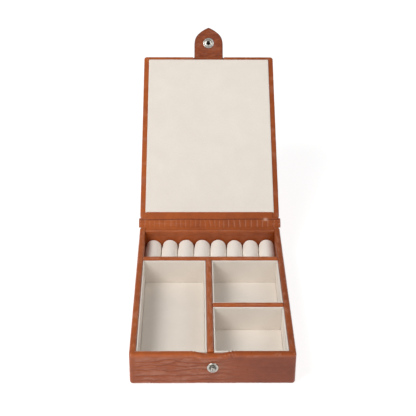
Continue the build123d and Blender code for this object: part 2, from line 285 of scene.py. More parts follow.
def tube_faces(nu, nv, start=0):
    """Faces of a closed tube: nu rings of nv points, and a cap on each end."""
    last = start + (nu - 1) * nv
    caps = [tuple(range(start, start + nv)), tuple(range(last + nv - 1, last - 1, -1))]
    return grid_faces(nu, nv, start, closed=True) + caps


def tube(name, rings, attributes=None):
    """A closed mesh from rings of points: each ring is a closed loop, and the ends are capped."""
    return make_object(name, rings, tube_faces(*rings.shape[:2]), attributes)


def slab(name, top, bottom, attributes, hole=None):
    """A closed mesh between two grids of the same size. hole marks the cells that are left open."""
    nu, nv = top.shape[:2]
    count = nu * nv
    keep = np.ones((nu - 1, nv - 1), bool) if hole is None else ~hole
    padded = np.pad(keep, 1)
    faces = []
    for i, j in zip(*np.nonzero(keep)):
        a, b, c, d = i * nv + j, (i + 1) * nv + j, (i + 1) * nv + j + 1, i * nv + j + 1
        faces.append((a, b, c, d))
        faces.append((d + count, c + count, b + count, a + count))
        for di, dj, p, q in ((0, -1, a, b), (1, 0, b, c), (0, 1, c, d), (-1, 0, d, a)):
            if not padded[i + 1 + di, j + 1 + dj]:
                faces.append((q, p, p + count, q + count))
    faces = [tuple(int(v) for v in f) for f in faces]
    both = {k: np.concatenate([v, v]) for k, v in attributes.items()}
    return make_object(name, np.concatenate([top.reshape(-1, 3), bottom.reshape(-1, 3)]), faces, both)


def lathe(name, profile, centre, place, dark=None, segments=72):
    """A turned piece: profile is a closed loop of (radius, height) points; height is towards +Y.

    place turns the points to their rest pose. dark(radius, height) gives how dark the metal is made there,
    from 0 to 1."""
    nv = len(profile)
    rings, faces = [], []
    for k in range(segments):
        a = 2 * math.pi * k / segments
        rings.append([(r * math.cos(a), h, r * math.sin(a)) for r, h in profile])
        n = (k + 1) % segments
        for j in range(nv):
            m = (j + 1) % nv
            faces.append((k * nv + j, n * nv + j, n * nv + m, k * nv + m))
    darkening = np.tile([dark(r, h) if dark else 0.0 for r, h in profile], segments)
    return make_object(name, place(np.array(rings) + np.array(centre)), faces, {"darkening": darkening}, 0.001)


def smooth_profile(points):
    """A rounded version of a polyline: its corners cut twice. Ends stay where they are."""
    p = [np.array(v, float) for v in points]
    for _ in range(2):
        cut = [p[0]]
        for a, b in zip(p, p[1:]):
            cut += [a * 0.75 + b * 0.25, a * 0.25 + b * 0.75]
        p = cut + [p[-1]]
    return p


def finish_piece(obj, material, body=None, replaces=()):
    """Gives a piece its material and slot, and its body and the CAD nodes it stands for."""
    obj.data.materials.clear()
    obj.data.materials.append(material)
    if body:
        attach(obj, body)
    if replaces:
        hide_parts(*replaces)
    return obj


# ---------------------------------------------------------------- materials
class Nodes:
    """Short names for building one material's node tree."""

    def __init__(self, name):
        self.material = bpy.data.materials.new(name)
        self.material.use_nodes = True
        self.tree = self.material.node_tree
        self.shader = self.tree.nodes["Principled BSDF"]

    def feed(self, socket, value):
        """Links an input to another node's output, or sets its value."""
        if isinstance(value, bpy.types.NodeSocket):
            self.tree.links.new(value, socket)
        else:
            socket.default_value = value

    def add(self, kind, values=None, **settings):
        node = self.tree.nodes.new(kind)
        for key, value in settings.items():
            setattr(node, key, value)
        for key, value in (values or {}).items():
            self.feed(node.inputs[key], value)
        return node

    def place(self):
        return self.add("ShaderNodeTexCoord").outputs["Object"]

    def attribute(self, name, output="Fac"):
        return self.add("ShaderNodeAttribute", attribute_name=name).outputs[output]

    def noise(self, vector, scale, detail, rough=0.55):
        values = {"Vector": vector, "Scale": scale, "Detail": detail, "Roughness": rough}
        return self.add("ShaderNodeTexNoise", values).outputs["Fac"]

    def cells(self, vector, scale):
        return self.add("ShaderNodeTexVoronoi", {"Vector": vector, "Scale": scale}).outputs["Distance"]

    def remap(self, value, a, b, low, high):
        values = {"Value": value, "From Min": a, "From Max": b, "To Min": low, "To Max": high}
        return self.add("ShaderNodeMapRange", values).outputs["Result"]

    def mix(self, factor, a, b, blend="MIX"):
        a, b = ((*v, 1.0) if isinstance(v, tuple) else v for v in (a, b))
        node = self.add("ShaderNodeMix", data_type="RGBA", blend_type=blend)
        for index, value in ((0, factor), (6, a), (7, b)):
            self.feed(node.inputs[index], value)
        return node.outputs[2]

    def maths(self, operation, a, b):
        return self.add("ShaderNodeMath", {0: a, 1: b}, operation=operation).outputs[0]

    def bump(self, height, distance, strength, after=None):
        values = {"Height": height, "Distance": distance, "Strength": strength}
        if after is not None:
            values["Normal"] = after
        return self.add("ShaderNodeBump", values).outputs["Normal"]

    def link(self, value, socket):
        self.tree.links.new(value, self.shader.inputs[socket])

    def set(self, **values):
        for key, value in values.items():
            self.shader.inputs[key.replace("_", " ")].default_value = value


def leather(name, dark, mid, light, rough, grain, sunk):
    """Tan leather: colour by mottling and fine pores; painted shade in the grooves and creases and where
    the shade attribute says so; pale wear and painted highlights on top.
    """
    n = Nodes(name)
    at = n.attribute("pat", "Vector")
    emboss_and_shade, wear_and_sheen = n.attribute("emboss_and_shade"), n.attribute("wear_and_sheen")
    mottle = n.noise(at, 90.0, 4.0)
    broad = n.noise(at, 22.0, 2.0)
    pores = n.cells(at, 1500.0)
    fine = n.noise(at, 2600.0, 2.0)
    tone = n.mix(n.remap(broad, 0.35, 0.68, 0.0, 1.0), mid, light)
    tone = n.mix(n.remap(mottle, 0.45, 0.75, 0.0, 0.4), tone, dark)
    # painted shade: the colour darkens in the grooves and creases, as much as sunk says
    tone = n.mix(n.remap(emboss_and_shade, 0.0, 0.8, sunk, 0.0), tone, dark)
    tone = n.mix(n.remap(pores, 0.0, 0.35, 0.25, 0.0), tone, dark)
    # painted shade: darkened towards this brown where the shade attribute says so
    tone = n.mix(n.attribute("shade"), tone, (0.47, 0.37, 0.32), "MULTIPLY")
    # pale where the leather is worn and where highlights are painted
    tone = n.mix(n.maths("MULTIPLY", wear_and_sheen, 0.8), tone, (0.78, 0.50, 0.38))
    n.link(tone, "Base Color")
    gloss = n.remap(mottle, 0.3, 0.75, rough - 0.06, rough + 0.10)
    n.link(n.maths("ADD", gloss, n.remap(emboss_and_shade, 0.0, 1.0, 0.12, 0.0)), "Roughness")
    first = n.bump(pores, 0.00008, grain)
    n.link(n.bump(fine, 0.00005, grain * 0.6, first), "Normal")
    n.set(Specular_IOR_Level=0.4, Coat_Weight=0.14, Coat_Roughness=0.16)
    return n.material


def suede(name, base, shade, light):
    """Cream microsuede: short nap with slightly turned patches and fine fibres, and painted shade on turned
    edges, tucked edges and the rolls' lower sides.
    """
    n = Nodes(name)
    at = n.attribute("pat", "Vector")
    patches = n.noise(at, 60.0, 4.0)
    fibres = n.noise(at, 1900.0, 3.0, 0.7)
    tone = n.mix(n.remap(patches, 0.35, 0.7, 0.0, 0.6), base, light)
    tone = n.mix(n.remap(fibres, 0.42, 0.75, 0.0, 0.4), tone, shade)
    # painted shade: darker where the attribute falls, on turned and tucked edges and low on the rolls
    tone = n.mix(n.remap(n.attribute("emboss_and_shade"), 0.0, 1.0, 0.7, 0.0), tone, shade)
    n.link(tone, "Base Color")
    n.link(n.remap(fibres, 0.3, 0.7, 0.86, 0.97), "Roughness")
    n.link(n.bump(fibres, 0.00010, 0.35), "Normal")
    n.set(Specular_IOR_Level=0.2, Sheen_Weight=0.25, Sheen_Roughness=0.5)
    return n.material


def nickel():
    """Satin nickel plate with dull patches; near black where its per-point attribute says so: painted shade
    in the socket's bore, and a darker ring and tip on the stud.
    """
    n = Nodes("nickel_plate")
    at = n.place()
    darkening = n.noise(at, 700.0, 3.0)
    tone = n.mix(n.remap(darkening, 0.4, 0.7, 0.0, 1.0), (0.70, 0.68, 0.63), (0.50, 0.47, 0.42))
    # near black where the attribute says so: painted shade in the socket's bore; on the stud, a darker ring
    # and tip
    n.link(n.mix(n.attribute("darkening"), tone, (0.035, 0.030, 0.026)), "Base Color")
    n.link(n.remap(darkening, 0.3, 0.75, 0.24, 0.42), "Roughness")
    n.link(n.bump(n.noise(at, 4000.0, 2.0), 0.00002, 0.2), "Normal")
    n.set(Metallic=1.0)
    return n.material


def fibre_board():
    """Dense grey-brown board with pressed fibres."""
    n = Nodes("fibre_board")
    fibres = n.noise(n.place(), 900.0, 4.0, 0.7)
    tone = n.mix(n.remap(fibres, 0.35, 0.7, 0.0, 1.0), (0.36, 0.32, 0.26), (0.50, 0.45, 0.37))
    n.link(tone, "Base Color")
    n.link(n.remap(fibres, 0.3, 0.7, 0.8, 0.95), "Roughness")
    n.link(n.bump(fibres, 0.0001, 0.3), "Normal")
    return n.material


def backing():
    """The dark sheet under the base: a fine pressed grain."""
    n = Nodes("backing_sheet")
    at = n.place()
    cloudy = n.noise(at, 70.0, 3.0)
    tone = n.mix(n.remap(cloudy, 0.35, 0.7, 0.0, 1.0), (0.115, 0.060, 0.036), (0.165, 0.090, 0.055))
    n.link(tone, "Base Color")
    n.link(n.remap(cloudy, 0.3, 0.7, 0.62, 0.78), "Roughness")
    n.link(n.bump(n.cells(at, 1100.0), 0.00012, 0.5), "Normal")
    return n.material


# the darkest tan: for mottling and pores, and for the painted shade in grooves and creases
GROOVE_TAN = (0.170, 0.024, 0.004)
CROC = leather("croc_leather", GROOVE_TAN, (0.392, 0.086, 0.016), (0.448, 0.107, 0.022),
               rough=0.33, grain=0.3, sunk=0.7)
SMOOTH = leather("smooth_leather", GROOVE_TAN, (0.392, 0.087, 0.017), (0.448, 0.109, 0.023),
                 rough=0.34, grain=0.4, sunk=0.85)
LINING = suede("cream_microsuede", (0.80, 0.735, 0.665), (0.69, 0.62, 0.54), (0.85, 0.79, 0.72))
ROLL = suede("roll_microsuede", (0.93, 0.865, 0.79), (0.82, 0.75, 0.67), (0.97, 0.91, 0.84))
NICKEL = nickel()
BOARD = fibre_board()
BACKING = backing()

# ---------------------------------------------------------------- sizes, from the CAD
HALF_X, _, HEIGHT = node_box("right_leather")[1]
HALF_Y = -node_box("front_leather")[0][1]
INNER_X = node_box("cross_divider_leather")[1][0]
WALL = HALF_X - INNER_X
FLOOR = node_box("floor_board")[1][2]
CORNER_R = 2.5  # the case's corners in plan
BOTTOM_R = 2.2  # the wall leather's bend under the base
TURN_UNDER = 3.2  # how far the wall leather runs under the base
SKIN = 1.0  # the wall leather's thickness
RIM_R = 1.7
CORNER_RISE = 0.5  # how much higher the side rims are under the hinge leather
DIP_HALF, DIP_FLAT, DIP_DEPTH = 15.2, 6.0, 1.8
WALL_SCALE = 18.0, 4.1  # a wall scale's width and height
LID_HI = closed_box("lid_board")[1]
LIN_LO, LIN_HI = closed_box("lid_lining_fabric")
LID_SKIN = 0.9
LID_LOW = LIN_HI[2]
LID_TOP = LID_HI[2] + LID_SKIN
LID_REAR = LID_HI[1] + LID_SKIN + 0.05
GAP = LID_AXIS[1] - LID_REAR  # from the lid hinge's axis to the lid's back edge
TAB_HALF = closed_box("tab_root")[1][0]
STUD_LO, STUD_HI = node_box("snap_stud")
STUD_Z = (STUD_LO[2] + STUD_HI[2]) / 2


# ---------------------------------------------------------------- base
def dip(x):
    """How far the front rim drops, for the tab."""
    return DIP_DEPTH * (1 - ramp(np.abs(x), DIP_FLAT, DIP_HALF))


def over_rim(radius, count, step):
    """Over a rim from the top of its outer side, and down inside to the floor: (inset, height)."""
    path = arc((radius, HEIGHT - radius), radius, 180, 90, count)[1:]
    path += run((radius, HEIGHT), (WALL - radius, HEIGHT), 0.5)
    path += arc((WALL - radius, HEIGHT - radius), radius, 90, 0, count)[1:]
    return path + run((WALL, HEIGHT - radius), (WALL, FLOOR), step)


def wall_section():
    """A wall's leather from under the base, up, over the rim and down inside, and its inner side."""
    path = [(TURN_UNDER, 0.0)] + run((TURN_UNDER, 0), (BOTTOM_R, 0), 0.5)
    path += arc((BOTTOM_R, BOTTOM_R), BOTTOM_R, 270, 180, 8)[1:]
    path += run((0, BOTTOM_R), (0, HEIGHT - RIM_R), 0.48) + over_rim(RIM_R, 7, 1.5)
    under = HEIGHT - SKIN
    inner = [(WALL - SKIN, FLOOR), (WALL - SKIN, under), (SKIN, under), (SKIN, SKIN), (TURN_UNDER, SKIN)]
    return np.array(path), np.array(inner, float)


def corner_stations(sx, sy, start, end):
    """Stations on the arc of a plan corner: (point, direction outwards, on a corner)."""
    centre = np.array([sx * (HALF_X - CORNER_R), sy * (HALF_Y - CORNER_R)])
    angles = np.radians(np.linspace(start, end, 8))
    return [(centre, np.array([math.cos(a), math.sin(a)]), True) for a in angles]


def straight_stations(a, b, normal):
    """Stations along a straight wall between two points on the outline."""
    a, b = np.array(a, float), np.array(b, float)
    count = max(1, round(np.linalg.norm(b - a) / 0.5))
    return [(a + (b - a) * k / count, np.array(normal, float), False) for k in range(count + 1)]


def at_inset(station, inset):
    """Where a station lies when the outline is drawn in."""
    point, normal, corner = station
    limit = np.array([HALF_X - inset, HALF_Y - inset])
    if not corner:
        return np.clip(point - normal * inset, -limit, limit)
    if inset <= CORNER_R:
        return point + normal * (CORNER_R - inset)
    return np.sign(point) * limit


def wall_leather(name, stations, seed, strength, node, warp):
    """One wall's leather. strength(x, y, z) gives how deep the scales are there, from 0 to 1."""
    front = warp is front_warp
    outer, inner = wall_section()
    section = np.concatenate([outer, inner])
    across = np.concatenate([lengths(outer), np.zeros(len(inner))])
    along = lengths([at_inset(s, 0) for s in stations])
    rings = warp(np.array([[(*at_inset(s, n), z) for n, z in section] for s in stations]))
    x, y, z = np.moveaxis(rings, -1, 0)
    s, t = np.broadcast_arrays(along[:, None], across[None, :])
    top = ramp(z + (dip(x) if front else 0), HEIGHT - 4.5, HEIGHT - 0.8)
    inside = (section[:, 0] > WALL - 1)[None, :]
    seam = ramp(np.minimum(along, along[-1] - along)[:, None], 0.5, 6.0)
    depth = strength(x, y, z) * (1 - 0.8 * top) * np.where(inside, 0.25, 1.0) * seam
    form = scales(s + seed * 31.0, t + 1.2, *WALL_SCALE, seed, 0.3)
    level = 1 - (1 - form) * depth
    push = -0.44 * (1 - level) - 0.06 * (1 + fractal(s / 9, t / 7, seed + 9))
    push = push + 0.07 * depth * fractal(s / 7, t / 1.1, seed + 12)
    if front:
        push = push + pucker(x, z)
    count, middle = len(outer), len(stations) // 2
    n = normals(rings[:, :count])
    facing = np.sum(n[middle, count // 3] * np.append(stations[middle][1], 0))
    rings[:, :count] += n * (push[:, :count, None] * np.sign(facing))
    rings[..., 2] = np.clip(rings[..., 2], 0.0, HEIGHT + CORNER_RISE)
    # painted highlights: pale along the rim tops, and on the scales' crowns below them
    wear_and_sheen = 0.16 * top * ramp(fractal(s / 5, t / 2, seed + 5), 0.0, 0.7)
    crown = ramp(level, 0.55, 0.95) * ramp(depth, 0.3, 0.9)
    crown = crown * ramp(fractal(s / 6, t / 1.6, seed + 6), -0.5, 0.6)
    attributes = {
        "emboss_and_shade": 1 - 0.6 * (1 - level),
        "wear_and_sheen": wear_and_sheen + 0.16 * crown * (1 - top),
        # painted shade: the front's outer face is darker, on top of the side shade
        "shade": np.clip(side_shade(x) + 0.58 * (1 - top) * front, 0, 1),
        "pat": pattern(s, t, seed),
    }
    return finish_piece(tube(name, rings, attributes), CROC, "base", [node])


def front_warp(rings):
    """Lowers the rim at the dip and lets the wall under it give way."""
    x, z = rings[..., 0], rings[..., 2]
    rings[..., 2] = z - dip(x) * ramp(z, HEIGHT - 11, HEIGHT - 1)
    return rings


def side_warp(rings):
    """Raises the rim a little at the back corner, where the hinge leather lies over it."""
    y, z = rings[..., 1], rings[..., 2]
    rings[..., 2] = z + CORNER_RISE * ramp(y, HALF_Y - 8, HALF_Y - 2) * ramp(z, HEIGHT - 6, HEIGHT - 1)
    return rings


def pucker(x, z):
    """The gathered leather at the right end of the dip, and faintly at the left."""
    folds = 0
    for side, size in ((13.2, 0.55), (-13.6, 0.22)):
        away = ((x - side) / 2.6) ** 2 + ((z - HEIGHT + 1.5) / 2.2) ** 2
        folds = folds + size * np.exp(-away) * np.sin((x - side) * 2.4 + (z - HEIGHT) * 1.1)
    return folds - 0.12 * np.abs(folds)


def base_leathers():
    """The four wall leathers."""
    cx, cy = HALF_X - CORNER_R, HALF_Y - CORNER_R

    def front_depth(x, y, z):
        fade = 1 - 0.72 * ramp(x, -6.0, 24.0)
        return fade * (1 - 0.3 * ramp(noise(x / 16 + 3, z / 9, 5), 0.1, 0.8))

    def side_depth(x, y, z):
        return 0.55 + 0.4 * ramp(noise(y / 30 + x, z / 14, 6), -0.4, 0.5)

    front = corner_stations(-1, -1, 225, 270)
    front += straight_stations((-cx, -HALF_Y), (cx, -HALF_Y), (0, -1))[1:-1]
    front += corner_stations(1, -1, 270, 315)
    wall_leather("base_leather_front", front, 1, front_depth, "front_leather", front_warp)
    for side, name, start, middle in ((-1, "left", 225, 180), (1, "right", -45, 0)):
        stations = corner_stations(side, -1, start, middle)
        stations += straight_stations((side * HALF_X, -cy), (side * HALF_X, cy), (side, 0))[1:-1]
        stations += corner_stations(side, 1, middle, 90)
        stations += straight_stations((side * cx, HALF_Y), (side * INNER_X, HALF_Y), (0, 1))[1:]
        wall_leather(f"base_leather_{name}", stations, 3 + side, side_depth, f"{name}_leather", side_warp)


def divider_leathers():
    """The leather over each divider, softly rounded at the rim and drooping at its ends."""
    radius, end_r = 1.75, 1.3
    outer = [(0.0, FLOOR)] + run((0, FLOOR), (0, HEIGHT - radius), 1.0) + over_rim(radius, 8, 1.0)
    inner = [(WALL - 1, FLOOR), (WALL - 1, HEIGHT - 1), (1, HEIGHT - 1), (1, FLOOR)]
    section, count = np.array(outer + inner), len(outer)
    across = np.append(lengths(outer), [0] * len(inner))
    near_end = np.array([0.0, 0.12, 0.35, 0.7, 1.1])
    for name, lengthwise, seed in (("cross", 0, 21), ("long", 1, 20), ("short", 0, 21)):
        lo, hi = node_box(f"{name}_divider_leather")
        crosswise = 1 - lengthwise
        a, b = lo[lengthwise] - 0.3, hi[lengthwise] + 0.3
        inside = np.linspace(a + 1.6, b - 1.6, round((b - a) / 0.8))
        along = np.concatenate([[a], a + near_end, inside, b - near_end[::-1], [b]])
        rings = np.zeros((len(along), len(section), 3))
        rings[..., lengthwise] = along[:, None]
        rings[..., crosswise] = lo[crosswise] + section[None, :, 0]
        rings[..., 2] = section[None, :, 1]
        rings[[0, -1], count:, 2] = FLOOR
        from_end = np.clip(np.minimum(along - a, b - along) / end_r, 0, 1)
        droop = end_r * (1 - np.sqrt(1 - (1 - from_end) ** 2))
        rings[..., 2] -= droop[:, None] * (section[None, :, 1] > HEIGHT - 6)
        s, t = np.broadcast_arrays(along[:, None], across[None, :])
        soft = -0.10 * (1 + fractal(s / 8, t / 5, seed)) - 0.05 * (1 + noise(s / 2.2, t / 1.5, seed + 4))
        middle = section[:, 0][None, :] / WALL - 0.5
        at_side, on_top = np.abs(middle) > 0.3, (np.abs(middle) < 0.49) & (section[:, 1] > HEIGHT - radius)
        rings[:, :count, crosswise] += (np.sign(middle) * soft * at_side)[:, :count]
        rings[:, :count, 2] += (soft * on_top)[:, :count]
        # painted highlight: pale along the divider's crest
        crest_highlight = ramp(rings[..., 2], HEIGHT - 1.0, HEIGHT - 0.1)
        attributes = {
            "emboss_and_shade": 1 + 0 * s,
            "wear_and_sheen": 0.18 * crest_highlight * ramp(noise(s / 4, t, 8), -0.4, 0.8),
            "shade": 0 * s,
            "pat": pattern(s, t, seed),
        }
        obj = tube(f"{name}_divider_cover", rings, attributes)
        finish_piece(obj, SMOOTH, "base", [f"{name}_divider_leather"])


def tray_linings():
    """For each tray, the four suede-covered panels and the pad on the floor."""
    for index, tray in enumerate(("left_tray", "rear_right_tray", "front_right_tray")):
        lo, hi = node_box(f"{tray}_wall_lining")
        panel_set(tray, lo, hi, 40 + index)
        lo, hi = node_box(f"{tray}_floor_pad")
        floor_pad(tray, lo, hi, 50 + index)


def panel_set(tray, lo, hi, seed):
    """Four thin boards with rounded tops, in one mesh."""
    thick, radius = 1.2, 0.5
    top = hi[2]
    section = [(0.0, FLOOR), (0.0, top - radius)]
    section += arc((radius, top - radius), radius, 180, 90, 5)[1:]
    section += arc((thick - radius, top - radius), radius, 90, 0, 5)
    section += run((thick, top - radius), (thick, FLOOR), 1.6)
    depth, height = np.array(section).T[:, None, :]
    y0, y1 = lo[1] + thick, hi[1] - thick
    spans = [(0, lo[0], hi[0], lo[1], 1), (0, lo[0], hi[0], hi[1], -1)]
    spans += [(1, y0, y1, lo[0], 1), (1, y0, y1, hi[0], -1)]
    points, faces, pats = [], [], []
    for k, (axis, a, b, foot, sign) in enumerate(spans):
        along = steps(a, b, 1.5)
        ring = np.zeros((len(along), len(section), 3))
        ring[..., axis] = along[:, None]
        wave = 0.07 * fractal(along[:, None] / 11, height / 8, seed + k)
        ring[..., 1 - axis] = foot + sign * (depth + wave * (depth > thick - radius))
        sag = 0.06 * (noise(along / 6, along * 0, seed + k)[:, None] - 1)
        ring[..., 2] = height + sag * (height > top - 1)
        faces += tube_faces(*ring.shape[:2], len(points))
        points += ring.reshape(-1, 3).tolist()
        s, t = np.broadcast_arrays(along[:, None], height)
        pats.append(pattern(s, t, seed + k * 3))
    ones = np.ones(len(points))
    attributes = {"emboss_and_shade": ones, "wear_and_sheen": ones * 0, "pat": np.concatenate(pats)}
    obj = make_object(f"{tray}_wall_panels", points, faces, attributes)
    finish_piece(obj, LINING, "base", [f"{tray}_wall_lining"])


def rounded_grid(lo, hi, step, radius):
    """A rectangle's grid, finer at its rim, and how far a face with a round rim falls over it."""
    x, y = (steps(lo[k], hi[k], step, ends=radius) for k in (0, 1))
    gx, gy = np.meshgrid(x, y, indexing="ij")
    ex, ey = (np.clip(radius - np.minimum(g - lo[k], hi[k] - g), 0, radius) for k, g in ((0, gx), (1, gy)))
    e = np.minimum(np.hypot(ex, ey), radius)
    return gx, gy, radius - np.sqrt(np.maximum(radius**2 - e**2, 0))


def floor_pad(tray, lo, hi, seed):
    """A thin crowned pad, tucked down at its edges."""
    lo, hi = lo - [0.13, 0.13, 0], hi + [0.13, 0.13, 0]
    gx, gy, drop = rounded_grid(lo, hi, 1.3, 0.55)
    u, v = ((g - lo[k]) / (hi[k] - lo[k]) * 2 - 1 for k, g in ((0, gx), (1, gy)))
    crown = 0.45 * (1 - u**6) * (1 - v**6) + 0.05 * fractal(gx / 9, gy / 9, seed)
    top = np.stack([gx, gy, hi[2] - 0.05 + crown - drop], axis=-1)
    bottom = np.stack([gx, gy, 0 * gx + lo[2]], axis=-1)
    # painted shade: darker where the pad tucks down at its edges
    attributes = {"emboss_and_shade": 1 - 0.5 * (drop > 0.3), "wear_and_sheen": 0 * gx, "pat": pattern(gx, gy, seed)}
    obj = slab(f"{tray}_pad", top, bottom, attributes)
    finish_piece(obj, LINING, "base", [f"{tray}_floor_pad"])


# ---------------------------------------------------------------- ring rolls
def roll_form(lo, hi):
    """A roll's mesh before it is stuffed: an arched section with rounded ends."""
    foot_r, step = 1.5, 1.2
    radius = (hi[0] - lo[0]) / 2 - 0.05
    top, low = hi[2] - 0.3, lo[2]
    x = (lo[0] + hi[0]) / 2
    section = arc((0, top - radius), radius, 0, 180, 17)
    section += run((-radius, top - radius), (-radius, low + foot_r), step)
    section += arc((-radius + foot_r, low + foot_r), foot_r, 180, 270, 4)[1:]
    section += run((-radius + foot_r, low), (radius - foot_r, low), step)
    section += arc((radius - foot_r, low + foot_r), foot_r, 270, 360, 4)[1:]
    section += run((radius, low + foot_r), (radius, top - radius), step)[:-1]
    middle = np.array([0, (top + low) / 2])
    away = np.array(section) - middle
    size = np.linalg.norm(away, axis=1, keepdims=True)
    ends = [(1.6, 0.0), (0.7, 0.25), (0.2, 0.75), (0.0, 1.5)]
    a, b = lo[1] + 0.3, hi[1] - 0.3
    stations = [(a + d, shrink) for shrink, d in ends]
    stations += [(y, 0.0) for y in np.linspace(a + 2.4, b - 2.4, 32)]
    stations += [(b - d, shrink) for shrink, d in reversed(ends)]
    rings = [(y, middle + away * (1 - shrink / size)) for y, shrink in stations]
    return np.array([[(x + u, y, z) for u, z in ring] for y, ring in rings])


def stuff(obj, cap):
    """Inflates a closed cloth form, lets no point move more than cap, and keeps the result."""
    grown, last_frame = 40.0, 14
    obj.data.transform(Matrix.Scale(grown, 4))
    start = coordinates(obj.data)
    cloth = obj.modifiers.new("cloth", "CLOTH")
    cloth.settings.quality = 4
    cloth.settings.mass = 0.4
    cloth.settings.tension_stiffness = 18
    cloth.settings.compression_stiffness = 18
    cloth.settings.bending_stiffness = 1.2
    cloth.settings.use_pressure = True
    cloth.settings.uniform_pressure_force = 4.0
    cloth.settings.effector_weights.gravity = 0.0
    cloth.collision_settings.use_collision = False
    scene = bpy.context.scene
    cloth.point_cache.frame_start, cloth.point_cache.frame_end = 1, last_frame
    for frame_number in range(1, last_frame + 1):
        scene.frame_set(frame_number)
    evaluated = obj.evaluated_get(bpy.context.evaluated_depsgraph_get())
    move = coordinates(evaluated.data) - start
    obj.modifiers.remove(cloth)
    scene.frame_set(1)
    size = np.linalg.norm(move, axis=1, keepdims=True) + 1e-12
    move *= np.minimum(1, cap * MM * grown / size)
    obj.data.vertices.foreach_set("co", ((start + move) / grown).ravel())
    obj.data.update()


def ring_rolls():
    """Eight stuffed rolls, each a little different."""
    for index in range(1, 9):
        lo, hi = node_box(f"ring_roll_{index}")
        obj = tube(f"ring_roll_{index}_cover", roll_form(lo, hi))
        stuff(obj, 0.40)
        mod = obj.modifiers.new("soft", "SUBSURF")
        mod.levels = mod.render_levels = 1
        bpy.context.view_layer.update()
        evaluated = obj.evaluated_get(bpy.context.evaluated_depsgraph_get())
        mesh = bpy.data.meshes.new_from_object(evaluated)
        obj.modifiers.clear()
        obj.data = mesh
        co = coordinates(mesh) / MM
        middle = (lo + hi) / 2
        around = np.arctan2(co[:, 0] - middle[0], co[:, 2] - middle[2] + 1.0) * 6.5
        creases = 0.10 * fractal(co[:, 1] / 6.5, around / 2.6, 60 + index)
        creases = creases + 0.05 * noise(co[:, 1] / 2.5, around / 1.6, index)
        high = ramp(co[:, 2], lo[2] + 3, hi[2] - 4)
        away = co - middle
        away[:, 1] = 0
        away /= np.linalg.norm(away, axis=1, keepdims=True) + 1e-9
        co += away * ((creases - 0.08) * (0.3 + 0.7 * high))[:, None]
        co[:, 0] += 0.16 * noise(index * 3.1, 0, 2)
        co[:, 2] += high * (0.28 * noise(index * 1.7, 0, 3) - 0.1)
        co = np.clip(co, lo - [0.3, 0.3, 0], hi + [0.3, 0.3, 0.3])
        mesh.vertices.foreach_set("co", (co * MM).ravel())
        # painted shade: the rolls darker low down, where they press together
        lit = 1 - 0.8 * (1 - ramp(co[:, 2], lo[2] + 3, hi[2] - 5))
        write_attributes(mesh, {"pat": pattern(co[:, 1] + index * 50, around, 0), "emboss_and_shade": lit})
        mesh.polygons.foreach_set("use_smooth", [True] * len(mesh.polygons))
        mesh.update()
        finish_piece(obj, ROLL, "base", [f"ring_roll_{index}"])


